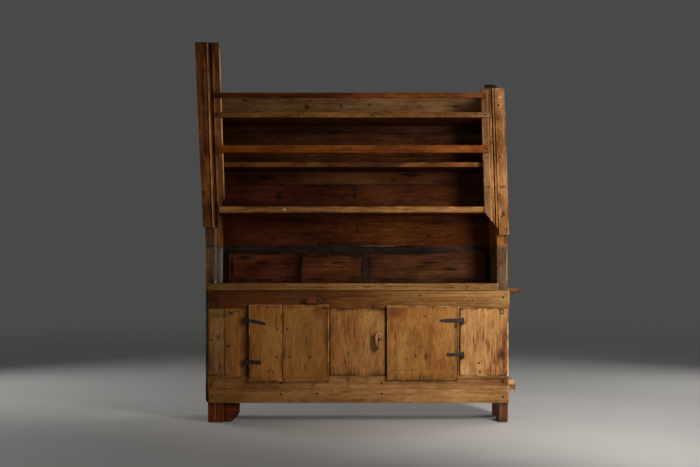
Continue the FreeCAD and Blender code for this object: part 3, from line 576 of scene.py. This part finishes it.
def forged_iron(name, look):
    material, tree, shader = new_material(name)
    place = object_place(tree)
    scale = cloud(tree, place, 110.0, 110.0, 4.0, 0.6)
    bloom = cloud(tree, place, 30.0, 30.0, 3.0)
    colour = blend(tree, step(tree, scale, 0.35, 0.7), look.dark, look.light)
    colour = blend(tree, step(tree, bloom, 0.54, 0.70, 0.0, 0.65), colour, look.rust)
    tree.links.new(colour, shader.inputs["Base Color"])
    tree.links.new(step(tree, scale, 0.3, 0.7, 0.42, 0.70), shader.inputs["Roughness"])
    shader.inputs["Metallic"].default_value = look.metal
    shader.inputs["Specular IOR Level"].default_value = look.shine
    add_bump(tree, shader, 0.6, weighted(tree, scale, [(bloom, 1.4)]))
    return material


looks = {name: pine(name, look) for name, look in woods.items()}
iron, nail_iron, rusty_iron = (forged_iron(name, look) for name, look in irons.items())


# Fades, for stains and wear and for painted light and shade: the tint of a board is multiplied by another one
# along an axis, rising from the first place to the second in metres, on the faces in front of the last number
AXIS_X, AXIS_Y, AXIS_Z = 0, 1, 2
ALL_FACES = 1.0
INSIDE_FACES = 0.212
# Paler right-hand edges: rubbed wear and a painted highlight where the light from the right catches them
RUBBED_AND_LIT_EDGE = (1.5, 1.6, 1.9)
# Painted shade on the undersides of the shelves and their lowest front arris
SHELF_UNDERSIDE_SHADE = (0.46, 0.30, 0.24)
JOINT_DIRT = (0.30, 0.26, 0.22)
Fade = namedtuple("Fade", "axis start end tint front", defaults=(ALL_FACES,))
# The bottom rails darken towards the left: painted shade where less light falls; their right-hand ends are
# paler
bottom_rail_fades = (Fade(AXIS_X, -0.30, -0.70, (0.72, 0.65, 0.48)), Fade(AXIS_X, 0.8530, 0.8630, RUBBED_AND_LIT_EDGE))
fades = {
    # Painted shade on the top back board's inner face below the top shelf
    "rack_back_board_top": (Fade(AXIS_Z, 1.782, 1.768, (0.19, 0.12, 0.075), INSIDE_FACES),),
    "rack_back_board_low": (Fade(AXIS_X, -0.5, 0.3, (1.10, 1.38, 0.85), INSIDE_FACES),
                            # Painted shade on the inner face above the bottom shelf, where the shelves keep
                            # light out
                            Fade(AXIS_Z, 1.245, 1.260, (0.66, 0.59, 0.56), INSIDE_FACES),
                            Fade(AXIS_Y, 0.2080, 0.2250, (2.3, 3.3, 3.2))),
    "rack_back_board_middle": (Fade(AXIS_Y, 0.2080, 0.2250, (3.3, 3.4, 3.6)),),
    "front_top_rail": (Fade(AXIS_X, 0.60, 0.05, (0.52, 0.37, 0.18)),
                       Fade(AXIS_X, -0.10, -0.60, (0.79, 0.66, 0.42)),
                       Fade(AXIS_X, 0.8550, 0.8655, RUBBED_AND_LIT_EDGE)),
    "front_bottom_rail_upper": bottom_rail_fades,
    "front_bottom_rail_lower": bottom_rail_fades,
    "front_stile_right": (Fade(AXIS_X, 0.8500, 0.8600, RUBBED_AND_LIT_EDGE),),
    "worktop_front_board": (Fade(AXIS_Z, 0.8012, 0.7960, (0.49, 0.51, 0.43)),
                            Fade(AXIS_X, 0.20, -0.70, (0.92, 0.86, 0.88))),
    "plate_rail_top": (Fade(AXIS_X, -0.35, 0.40, (1.70, 2.75, 2.60)),),
    "top_shelf_nosing": (Fade(AXIS_X, -0.20, 0.50, (0.78, 0.86, 0.95)),),
    "top_shelf": (Fade(AXIS_Z, 1.774, 1.764, SHELF_UNDERSIDE_SHADE),),
    "middle_shelf": (Fade(AXIS_Z, 1.4800, 1.4778, SHELF_UNDERSIDE_SHADE),),
    "bottom_shelf": (Fade(AXIS_Z, 1.2130, 1.2108, SHELF_UNDERSIDE_SHADE),),
    "left_door_board_hinge": (Fade(AXIS_X, -0.4375, -0.4362, JOINT_DIRT),),
    "left_door_board_free": (Fade(AXIS_X, -0.4335, -0.4348, JOINT_DIRT),
                             Fade(AXIS_X, -0.1720, -0.1690, RUBBED_AND_LIT_EDGE)),
    "right_door_board": (Fade(AXIS_X, 0.5730, 0.5765, RUBBED_AND_LIT_EDGE),),
    "rack_side_left": (Fade(AXIS_Y, -0.1390, -0.1425, (0.60, 0.62, 0.72)),),
    "rack_side_right": (Fade(AXIS_Z, 1.90, 1.94, (0.30, 0.26, 0.26)),),
    # A pale strip at the inner side of the left plank's front: worn paint and a painted highlight on the face
    # turned to the light
    "base_side_left": (Fade(AXIS_X, -0.833, -0.824, (1.8, 2.7, 5.0), 0.19),
                       Fade(AXIS_Z, 0.150, 0.125, (0.92, 0.64, 0.40)),
                       Fade(AXIS_X, -0.8760, -0.8810, (1.35, 1.15, 0.85))),
    "base_side_right": (Fade(AXIS_Z, 0.905, 0.865, (0.95, 1.15, 1.35)),
                        Fade(AXIS_Z, 0.150, 0.125, (2.0, 3.0, 4.6)),
                        Fade(AXIS_X, 0.8625, 0.8650, (1.5, 1.8, 2.2)),
                        Fade(AXIS_X, 0.8545, 0.8595, (1.7, 1.45, 1.1))),
    # Painted shadow of the left door on the stile beside its hinge edge
    "front_stile_left_inner": (Fade(AXIS_X, -0.6680, -0.6480, (0.50, 0.42, 0.38)),),
    # Painted highlight on the foot block's right-hand arris
    "left_foot_block": (Fade(AXIS_X, -0.7815, -0.7795, (1.9, 2.1, 2.2)),),
    "band_rail": (Fade(AXIS_X, 0.10, 0.55, (1.7, 1.3, 1.0)),),
}

# Painted light and shade, with dirt, in strips across the stile mouldings and the left rack side's front:
# where the stile's outer edge is, in the rack's leaning frame, which way the profile runs from there, and its
# strips as (from, to, tint): painted shade in the quirk, dirt and painted shade in the hollow and the grooves,
# painted highlights with rubbed wood on the beads and the inner edge, and shade on the right stile's inner
# parts
DIRT_AND_SHADE_TINT = (0.16, 0.14, 0.14)
QUIRK_SHADE_TINT = (0.42, 0.38, 0.36)
SHADE_TINT = (0.66, 0.70, 0.77)
RUB_AND_HIGHLIGHT_TINT = (1.5, 1.6, 1.75)
BEAD_HIGHLIGHT_TINT = (3.8, 5.4, 9.2)
STRIP_EDGE = 0.0005
light_and_dirt_strips = {
    "rack_stile_left": (-0.9009, 1, ((0.0598, 0.0626, QUIRK_SHADE_TINT), (0.0645, 0.0745, BEAD_HIGHLIGHT_TINT),
                                     (0.0815, 0.0948, DIRT_AND_SHADE_TINT), (0.0970, 0.1030, (1.8, 2.1, 2.9)),
                                     (0.1035, 0.1345, (1.00, 1.17, 1.70)), (0.1350, 0.1400, BEAD_HIGHLIGHT_TINT))),
    "rack_stile_right": (0.8680, -1, ((0.0565, 0.0612, DIRT_AND_SHADE_TINT), (0.0640, 0.0705, RUB_AND_HIGHLIGHT_TINT),
                                      (0.0718, 0.0768, DIRT_AND_SHADE_TINT), (0.0780, 0.0830, RUB_AND_HIGHLIGHT_TINT),
                                      (0.0840, 0.0925, SHADE_TINT), (0.0930, 0.0990, RUB_AND_HIGHLIGHT_TINT),
                                      (0.0995, 0.1335, SHADE_TINT))),
    # A pale strip by the front of the left rack side's inner face: painted highlight on the face turned to the
    # light
    "rack_side_left": (-0.8214, -1, ((-0.002, 0.010, (2.4, 2.7, 3.2)),)),
}

# Feet of the side planks stand off the planks: shift of the inner and the outer face, and where it starts,
# all in metres
feet = {"base_side_left": (0.0, 0.013, 0.130), "base_side_right": (0.013, 0.005, 0.130)}

# Rear boards reach up to the next one, so that no light shows between them
REAR_GAP = 0.0014
gap_closers = ("base_back_board_1", "base_back_board_2", "base_back_board_3", "rack_back_board_low",
               "rack_back_board_middle")

# Boards: grain direction, look, tint, rounding of the arrises, whether neighbours butt against the sides, and
# lines cut in the front. A line is (share across its run, share where it starts, where it ends, depth in
# metres): splits run with the grain, scribes run across it. Rot is (x from, x to, z from, z to, depth) in
# metres.
Board = namedtuple("Board", "node along look tint arris tight splits scribes rot",
                   defaults=((1.0, 1.0, 1.0), 0.0030, False, (), (), ()))
BAND_TINT = (0.48, 0.40, 0.37)


def grey_tint(value):
    return (value, value, value)


boards = [
    Board("base_side_left", "z", "plank", (0.60, 0.55, 0.45)),
    Board("base_side_right", "z", "plank", (0.46, 0.38, 0.30)),
    Board("floor_board_front", "x", "pale", (0.75, 0.80, 0.9)),
    Board("floor_board_back", "x", "honey", grey_tint(0.9)),
    Board("floor_bearer_front", "x", "pale", (1.15, 1.25, 1.55)),
    Board("floor_bearer_back", "x", "honey", grey_tint(0.9)),
    Board("worktop_batten", "x", "rack", (0.55, 0.54, 0.60)),
    Board("worktop_front_board", "x", "honey", (1.00, 1.02, 1.05), 0.0034, False,
          ((0.45, 0.02, 0.46, 0.003), (0.52, 0.5, 0.93, 0.003))),
    Board("worktop_back_board", "x", "honey", (0.82, 0.88, 0.92)),
    Board("front_top_rail", "x", "honey", (0.61, 0.64, 0.49), 0.0016, True,
          ((0.70, 0.42, 0.58, 0.003), (0.35, 0.68, 0.88, 0.003)), ((0.0237, 0.02, 0.98, 0.003),)),
    Board("front_bottom_rail_upper", "x", "honey", (0.82, 0.86, 0.92), 0.0010, True,
          ((0.45, 0.64, 0.96, 0.004),), ((0.462, 0.10, 0.98, 0.005), (0.761, 0.2, 0.6, 0.003)),
          ((0.770, 0.864, 0.214, 0.262, 0.008),)),
    Board("front_bottom_rail_lower", "x", "honey", (0.85, 0.90, 0.97), 0.0010, True,
          ((0.55, 0.55, 0.70, 0.003), (0.86, 0.41, 0.62, 0.003)), ((0.4086, 0.72, 0.99, 0.005),)),
    Board("front_stile_left_outer", "z", "honey", (0.62, 0.62, 0.58), 0.0012, True,
          ((0.62, 0.1, 0.42, 0.003),)),
    Board("front_stile_left_inner", "z", "honey", (0.85, 0.77, 0.55), 0.0012, True),
    Board("front_stile_centre", "z", "door", (0.84, 0.87, 0.83), 0.0016, True),
    Board("front_stile_right", "z", "pale", (0.86, 0.85, 0.80), 0.0020, True,
          ((0.35, 0.40, 0.66, 0.004), (0.56, 0.28, 0.58, 0.004), (0.78, 0.2, 0.5, 0.004))),
    Board("left_foot_block", "z", "foot", (0.54, 0.43, 0.26)),
    Board("left_foot_bracket", "x", "foot", (0.57, 0.41, 0.22)),
    Board("base_back_board_1", "x", "rear", grey_tint(1.1), 0.0020, True),
    Board("base_back_board_2", "x", "rear", grey_tint(1.2), 0.0020, True),
    Board("base_back_board_3", "x", "rear", grey_tint(1.0), 0.0020, True),
    Board("base_back_board_4", "x", "rear", grey_tint(1.15), 0.0020, True),
    Board("band_rail", "x", "frame", (0.34, 0.29, 0.27), 0.0024, True),
    Board("band_stile_left", "z", "frame", BAND_TINT, 0.0016, True),
    Board("band_muntin", "z", "frame", BAND_TINT, 0.0016, True),
    Board("band_stile_right", "z", "frame", BAND_TINT, 0.0016, True),
    Board("band_panel_left", "x", "panel", (0.42, 0.29, 0.27), 0.0008, True, ((0.50, 0.1, 0.7, 0.002),)),
    Board("band_panel_middle", "x", "panel", (0.48, 0.38, 0.28), 0.0008, True),
    Board("band_panel_right", "x", "panel", (0.32, 0.28, 0.23), 0.0008, True, ((0.40, 0.2, 0.8, 0.002),)),
    Board("rack_side_left", "lean", "rack", (0.37, 0.36, 0.36)),
    Board("rack_side_right", "lean", "rack", (0.72, 0.68, 0.44)),
    Board("rack_stile_left", "lean", "rack", (0.56, 0.45, 0.30), 0.0007, False,
          ((0.10, 0.55, 0.97, 0.003),)),
    Board("rack_stile_right", "lean", "rack", (0.67, 0.70, 0.72), 0.0007, False, (),
          ((0.885, 0.0, 0.42, 0.003),)),
    Board("plate_rail_top", "x", "rack", (0.25, 0.11, 0.036), 0.0030, False, ((0.5, 0.1, 0.4, 0.002),)),
    Board("plate_rail_middle", "x", "rack", (0.48, 0.31, 0.05), 0.0030, False, ((0.4, 0.55, 0.8, 0.002),)),
    Board("top_shelf", "x", "rack", grey_tint(0.5)),
    Board("top_shelf_nosing", "x", "rack", (0.54, 0.54, 0.44), 0.0034),
    Board("middle_shelf", "x", "rack", (0.35, 0.28, 0.115), 0.0034),
    Board("bottom_shelf", "x", "honey", (0.70, 0.71, 0.57), 0.0036, False, ((0.5, 0.3, 0.6, 0.002),)),
    Board("rack_back_board_low", "x", "rear", (0.45, 0.29, 0.28), 0.0008, True, ((0.45, 0.1, 0.5, 0.003),)),
    Board("rack_back_board_middle", "x", "rear", (0.375, 0.335, 0.33), 0.0008, True,
          ((0.7, 0.3, 0.8, 0.003),)),
    Board("rack_back_board_top", "x", "grey", (0.90, 0.76, 0.60), 0.0008, True),
    Board("left_door_board_hinge", "z", "door", (0.73, 0.65, 0.44), 0.0028, False,
          ((0.8, 0.62, 0.9, 0.002), (0.045, 0.02, 0.98, 0.0025)),
          ((0.052, 0.04, 0.98, 0.0025), (0.955, 0.48, 0.98, 0.0025))),
    Board("left_door_board_free", "z", "door", (0.63, 0.56, 0.38), 0.0034, False,
          ((0.52, 0.25, 0.62, 0.003), (0.955, 0.02, 0.98, 0.0035)),
          ((0.052, 0.02, 0.94, 0.0025), (0.955, 0.02, 0.72, 0.0025))),
    Board("left_door_ledges", "x", "honey", grey_tint(0.9)),
    Board("right_door_board", "z", "door", (0.85, 0.87, 0.68), 0.0034, False,
          ((0.54, 0.24, 0.42, 0.004), (0.12, 0.05, 0.75, 0.003), (0.972, 0.02, 0.98, 0.003)),
          ((0.035, 0.02, 0.98, 0.0025), (0.129, 0.02, 0.34, 0.0025), (0.955, 0.2, 0.44, 0.0025))),
    Board("right_door_ledges", "x", "honey", grey_tint(0.9)),
    Board("left_turn_button", "x", "button", (0.26, 0.14, 0.11), 0.0020),
    Board("right_turn_button", "z", "button", grey_tint(1.1), 0.0020),
    Board("button_spacers", "x", "button", grey_tint(0.8), 0.0010),
]


# Directions of a board's grain
def lies_flat(low, high, along):
    thick = high.z - low.z if along == "x" else high.x - low.x
    return thick < high.y - low.y


def grain_place(point, along, flat):
    run, across = (point.x, point.z) if along == "x" else (point.z, point.x)
    if along == "lean":
        across += RACK_SLOPE * point.z
    return Vector((run, point.y, across) if flat else (run, across, point.y))


def grain_axes(along):
    if along == "x":
        return X_AXIS, Z_AXIS
    if along == "z":
        return Z_AXIS, X_AXIS
    return Vector((-RACK_SLOPE, 0, 1)).normalized(), Vector((1, 0, RACK_SLOPE)).normalized()


# Meshes
def clean_mesh(node_name):
    mesh = bmesh.new()
    mesh.from_mesh(frame["nodes"][node_name].data)
    bmesh.ops.remove_doubles(mesh, verts=mesh.verts, dist=MERGE)
    bmesh.ops.dissolve_limit(mesh, angle_limit=FLAT_ANGLE, verts=mesh.verts, edges=mesh.edges)
    return mesh


def sharp_edges(mesh):
    shared = [edge for edge in mesh.edges if len(edge.link_faces) == 2]
    return [edge for edge in shared if edge.calc_face_angle() > ARRIS_ANGLE]


def arris_tree(mesh):
    points = []
    for edge in sharp_edges(mesh):
        first, last = (vert.co for vert in edge.verts)
        count = max(1, int((last - first).length / ARRIS_STEP))
        points += [first.lerp(last, share / count) for share in range(count + 1)]
    tree = kdtree.KDTree(len(points))
    for index, point in enumerate(points):
        tree.insert(point, index)
    tree.balance()
    return tree


def closeness(distance, reach):
    return max(0.0, 1.0 - distance / reach)


def round_arrises(mesh, width):
    bmesh.ops.bevel(mesh, geom=sharp_edges(mesh), offset=width, segments=2, profile=ARRIS_PROFILE,
                    affect="EDGES", clamp_overlap=True)


def slice_mesh(mesh, direction, places):
    for place in places:
        geometry = mesh.verts[:] + mesh.edges[:] + mesh.faces[:]
        point = direction * place
        bmesh.ops.bisect_plane(mesh, geom=geometry, dist=SLICE, plane_co=point, plane_no=direction)


def span(mesh, direction):
    values = [vert.co.dot(direction) for vert in mesh.verts]
    return min(values), max(values)


def cut_places(low, high, pitch, margin, dice):
    places = []
    if high - low > 3 * margin:
        places = [low + margin, high - margin, low + JOINT_LINE, high - JOINT_LINE]
    count = int((high - low) / pitch)
    strays = [dice.uniform(-CUT_STRAY, CUT_STRAY) for _ in range(1, count)]
    return places + [low + (high - low) * (index + stray) / count for index, stray in enumerate(strays, 1)]


def carve_line(mesh, run_axis, cut_axis, line, dice):
    share, start, end, depth = line
    carved = mesh.verts.layers.float["carved"]
    low, high = span(mesh, cut_axis)
    first, last = span(mesh, run_axis)
    middle = low + (high - low) * share
    slice_mesh(mesh, cut_axis, [middle - CRACK_HALF, middle, middle + CRACK_HALF])
    front = min(vert.co.y for vert in mesh.verts)
    shift = dice.uniform(-CRACK_SHIFT, CRACK_SHIFT)
    for vert in mesh.verts:
        off = vert.co.dot(cut_axis) - middle
        run = vert.co.dot(run_axis)
        inside = ((run - first) / (last - first) - start) / (end - start)
        if abs(off) > CRACK_HALF + MERGE or not 0 < inside < 1 or vert.co.y > front + CRACK_FACE:
            continue
        fade = math.sqrt(math.sin(math.pi * inside))
        vert.co += cut_axis * noise.noise(Vector((run * CRACK_SCALE + shift, 0, 0))) * CRACK_WANDER * fade
        if abs(off) < MERGE:
            vert.co.y += depth * fade * dice.uniform(*CRACK_DEPTHS)
            vert[carved] = fade * dice.uniform(*CRACK_PAINTED_SHADES)


def rot_away(mesh, region):
    left, right, low, high, depth = region
    slice_mesh(mesh, X_AXIS, [left + ROT_PITCH * index for index in range(int((right - left) / ROT_PITCH))])
    slice_mesh(mesh, Z_AXIS, [low + ROT_PITCH * index for index in range(int((high - low) / ROT_PITCH))])
    front = min(vert.co.y for vert in mesh.verts)
    for vert in mesh.verts:
        across, up = (vert.co.x - left) / (right - left), (vert.co.z - low) / (high - low)
        if 0 < across < 1 and 0 < up < 1 and vert.co.y < front + ROT_FACE:
            along = vert.co.x * ROT_SCALE_X + vert.co.z * ROT_SCALE_UP
            rough = noise.noise(Vector((along, vert.co.z * ROT_SCALE_ACROSS, ROT_LAYER)))
            fibres = max(0.0, rough + ROT_LEAST)
            vert.co.y += depth * math.sin(math.pi * up) * min(1.0, ROT_RISE * across) * fibres


def pare_foot(mesh, inner, outer, top):
    slice_mesh(mesh, Z_AXIS, [top])
    middle = sum(span(mesh, X_AXIS)) / 2
    for vert in mesh.verts:
        if vert.co.z < top - EDGE_SNAP:
            vert.co.x += inner if abs(vert.co.x) < abs(middle) else outer


def close_gap(mesh):
    top = span(mesh, Z_AXIS)[1]
    for vert in mesh.verts:
        if vert.co.z > top - EDGE_SNAP:
            vert.co.z += REAR_GAP


def wear_down(mesh, arrises, tight, seed):
    mesh.normal_update()
    shift = Vector([seed * part for part in SEED_SHIFT])
    for vert in mesh.verts:
        place = vert.co + shift
        near = closeness(arrises.find(vert.co)[2], WEAR_REACH)
        chip = max(0.0, noise.noise(place * CHIP_SCALE) - CHIP_LEAST) * CHIP_DEPTH * near
        sink = (0.5 + 0.5 * noise.noise(place * FACE_SCALE)) * FACE_DEPTH
        move = vert.normal * (chip + sink)
        vert.co -= Vector((0, move.y, 0)) if tight else move


def strip_places(origin, turn, strips):
    edges = [edge for strip in strips for edge in strip[:2]]
    borders = [edge + shift for edge in edges for shift in (-STRIP_EDGE, STRIP_EDGE)]
    length = math.hypot(1, RACK_SLOPE)
    return [(origin + turn * border + RACK_SLOPE * RACK_FOOT) / length for border in borders]


def cut_board(mesh, board, arrises, dice, seed):
    direction, side = grain_axes(board.along)
    for axis, pitch in ((direction, CUT_ALONG), (side, CUT_ACROSS), (Y_AXIS, CUT_ACROSS)):
        slice_mesh(mesh, axis, cut_places(*span(mesh, axis), pitch, WEAR_REACH, dice))
    if board.node in light_and_dirt_strips:
        slice_mesh(mesh, side, strip_places(*light_and_dirt_strips[board.node]))
    for line in board.splits:
        carve_line(mesh, direction, side, line, dice)
    for line in board.scribes:
        carve_line(mesh, side, direction, line, dice)
    for region in board.rot:
        rot_away(mesh, region)
    if board.node in feet:
        pare_foot(mesh, *feet[board.node])
    wear_down(mesh, arrises, board.tight, seed)
    if board.node in gap_closers:
        close_gap(mesh)


# Tint and grain of each point
# Tint at a point from the strips of painted light, painted shade and dirt across a moulding
def light_and_dirt_strip_tint(place, origin, turn, strips):
    across = turn * (place.x + RACK_SLOPE * (place.z - RACK_FOOT) - origin)
    for start, end, tint in strips:
        if start < across < end:
            return Vector(tint)
    return WHITE


def faded_tint(board, place):
    tint = Vector(board.tint)
    if board.node in light_and_dirt_strips:
        tint = tint * light_and_dirt_strip_tint(place, *light_and_dirt_strips[board.node])
    for fade in fades.get(board.node, ()):
        share = max(0.0, min(1.0, (place[fade.axis] - fade.start) / (fade.end - fade.start)))
        tint = tint * WHITE.lerp(Vector(fade.tint), share if place.y < fade.front else 0.0)
    return tint


def store_grain(piece, board, arrises, dice):
    offset = Vector([dice.uniform(*limits) for limits in (LOG_ALONG, LOG_ACROSS, LOG_DEPTH)])
    data = piece.data
    low, high = (Vector(corner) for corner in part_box(board.node))
    flat = lies_flat(low, high, board.along)
    base = grain_place((low + high) / 2, board.along, flat)
    offset -= Vector((0, base.y, base.z))
    for name in BOARD_DATA:
        data.attributes.new(name, "FLOAT_VECTOR", "POINT")
    grain, wear, tint = (data.attributes[name].data for name in BOARD_DATA)
    carved = data.attributes["carved"].data
    for vert in data.vertices:
        away = arrises.find(vert.co)[2]
        foot = max(0.0, min(1.0, (FOOT_TOP - vert.co.z) / FOOT_FADE)) if board.look == "plank" else 0.0
        joined = board.tight and abs(vert.co.x) < FREE_END
        near = closeness(away, WEAR_REACH) * (JOINT_SHARE if joined else 1.0)
        # Carved vertices are darkened with painted shade in the groove
        groove_shade = 1 - CARVED_PAINTED_SHADE * carved[vert.index].value
        shade = groove_shade if away > JOINT_LINE / 2 or not joined else JOINT_TONE
        grain[vert.index].vector = grain_place(vert.co, board.along, flat) + offset
        wear[vert.index].vector = (near, closeness(away, GRIME_REACH), foot)
        tint[vert.index].vector = faded_tint(board, vert.co) * shade


# Pieces
def add_object(name, data):
    made = bpy.data.objects.new(name, data)
    bpy.context.scene.collection.objects.link(made)
    return made


def mesh_piece(mesh, name, material):
    data = bpy.data.meshes.new(name)
    mesh.to_mesh(data)
    mesh.free()
    data.materials.append(material)
    return add_object(name, data)


def replacing_piece(mesh, name, node_name, material):
    piece = mesh_piece(mesh, name, material)
    for polygon in piece.data.polygons:
        polygon.use_smooth = True
    piece.data.set_sharp_from_angle(angle=HARD_ANGLE)
    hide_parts(node_name)
    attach(piece, body_of[node_name])
    return piece


def worn_board(board, seed):
    dice = random.Random(seed)
    mesh = clean_mesh(board.node)
    arrises = arris_tree(mesh)
    mesh.verts.layers.float.new("carved")
    round_arrises(mesh, board.arris)
    cut_board(mesh, board, arrises, dice, seed)
    piece = replacing_piece(mesh, "worn_" + board.node, board.node, looks[board.look])
    store_grain(piece, board, arrises, dice)


def hammered_strap(node_name, seed):
    dice = random.Random(seed)
    mesh = clean_mesh(node_name)
    arrises = arris_tree(mesh)
    round_arrises(mesh, STRAP_ARRIS)
    for axis, pitch in STRAP_CUTS:
        slice_mesh(mesh, axis, cut_places(*span(mesh, axis), pitch, STRAP_MARGIN, dice))
    mesh.normal_update()
    for vert in mesh.verts:
        beaten = 0.5 + 0.5 * noise.noise(vert.co * STRAP_SCALE)
        near = closeness(arrises.find(vert.co)[2], STRAP_REACH)
        vert.co -= vert.normal * beaten * (STRAP_BLOW + STRAP_EDGE_BLOW * near)
    replacing_piece(mesh, "forged_" + node_name, node_name, iron)


def nail_head(mesh, centre, dice):
    turn = dice.uniform(0, math.tau)
    angles = [turn + math.tau * side / NAIL_SIDES for side in range(NAIL_SIDES)]
    rings = []
    for radius, height in NAIL_RINGS:
        reach = [radius * dice.uniform(*NAIL_UNEVEN) for _ in angles]
        offsets = [Vector((away * math.cos(angle), height, away * math.sin(angle)))
                   for angle, away in zip(angles, reach)]
        rings.append([mesh.verts.new(centre + offset) for offset in offsets])
    peak = mesh.verts.new(centre + Vector((0, NAIL_PEAK, 0)))
    mesh.faces.new(rings[0])
    for side in range(NAIL_SIDES):
        after = (side + 1) % NAIL_SIDES
        for lower, upper in zip(rings, rings[1:]):
            mesh.faces.new((lower[side], upper[side], upper[after], lower[after]))
        mesh.faces.new((rings[-1][side], peak, rings[-1][after]))


def rear_nails(seed):
    dice = random.Random(seed)
    mesh = bmesh.new()
    corners = [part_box(board.node) for board in boards if "_back_board_" in board.node]
    places = [(low, high, line, share) for low, high in corners
              for line in REAR_NAIL_LINES for share in REAR_NAIL_SHARES]
    for low, high, line, share in places:
        height = low[2] + (high[2] - low[2]) * share + dice.uniform(-NAIL_STRAY_UP, NAIL_STRAY_UP)
        lean = RACK_SLOPE * max(0.0, height - RACK_FOOT)
        aside = line - lean + dice.uniform(-NAIL_STRAY_ASIDE, NAIL_STRAY_ASIDE)
        nail_head(mesh, Vector((aside, high[1] - FACE_DEPTH / 2, height)), dice)
    bmesh.ops.recalc_face_normals(mesh, faces=mesh.faces)
    piece = mesh_piece(mesh, "rear_nails", nail_iron)
    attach(piece, body_of["rack_nails"])


def kept_iron(name):
    if name.endswith("door_nails"):
        return rusty_iron
    return nail_iron if name.endswith("nails") else iron


straps = [name for name in slot_of if "_strap_" in name]
for index, board in enumerate(boards):
    worn_board(board, index + BOARD_SEED)
for index, name in enumerate(straps):
    hammered_strap(name, index + STRAP_SEED)
rear_nails(NAIL_SEED)

# Nails, pintles and pivots keep their CAD shape
for name, slot in slot_of.items():
    if slot == "forged_iron" and name not in straps:
        frame["nodes"][name].data.materials.clear()
        frame["nodes"][name].data.materials.append(kept_iron(name))


# Studio
def studio_floor():
    data = bpy.data.meshes.new("studio_floor")
    corners = [(-FLOOR_HALF, -FLOOR_HALF, 0), (FLOOR_HALF, -FLOOR_HALF, 0),
               (FLOOR_HALF, FLOOR_HALF, 0), (-FLOOR_HALF, FLOOR_HALF, 0)]
    data.from_pydata(corners, [], [(0, 1, 2, 3)])
    material, tree, shader = new_material("studio_pale")
    place = object_place(tree)
    patches = step(tree, cloud(tree, place, FLOOR_TONE_SCALE, FLOOR_TONE_SCALE), 0.35, 0.65)
    tree.links.new(blend(tree, patches, FLOOR_DARK, FLOOR_LIGHT), shader.inputs["Base Color"])
    shader.inputs["Roughness"].default_value = FLOOR_ROUGHNESS
    away = step(tree, vector_calc(tree, "LENGTH", place).outputs["Value"], HAZE_START, HAZE_END)
    haze = node(tree, "ShaderNodeEmission", {"Color": (*STUDIO_COLOUR, 1.0), "Strength": STUDIO_STRENGTH})
    mixed = node(tree, "ShaderNodeMixShader", {0: away, 1: shader.outputs[0], 2: haze.outputs[0]})
    tree.links.new(mixed.outputs[0], tree.nodes["Material Output"].inputs["Surface"])
    data.materials.append(material)
    add_object("studio_floor", data)


def area_light(light):
    data = bpy.data.lights.new(light.name, "AREA")
    data.shape = "RECTANGLE"
    data.size, data.size_y = light.width, light.height
    data.energy = light.power
    data.color = light.colour
    data.spread = math.radians(light.spread)
    lamp = add_object(light.name, data)
    lamp.location = light.place
    lamp.rotation_euler = (Vector(light.target) - Vector(light.place)).to_track_quat("-Z", "Y").to_euler()
    lamp.visible_camera = False


def studio_air():
    world = bpy.data.worlds.new("studio_world")
    world.use_nodes = True
    world.node_tree.nodes["Background"].inputs[0].default_value = (*STUDIO_COLOUR, 1.0)
    world.node_tree.nodes["Background"].inputs[1].default_value = STUDIO_STRENGTH
    bpy.context.scene.world = world


def photo_camera():
    data = bpy.data.cameras.new("camera")
    data.lens = data.sensor_width * FOCAL_PIXELS / IMAGE_WIDTH
    data.shift_x = -CENTRE_RIGHT_PIXELS / IMAGE_WIDTH
    data.shift_y = CENTRE_DOWN_PIXELS / IMAGE_WIDTH
    camera = add_object("camera", data)
    camera.location = CAMERA_PLACE
    camera.rotation_euler = (math.radians(90), 0, 0)
    bpy.context.scene.camera = camera


studio_floor()
for light in lights:
    area_light(light)
studio_air()
bpy.context.scene.view_settings.view_transform = "Standard"
photo_camera()
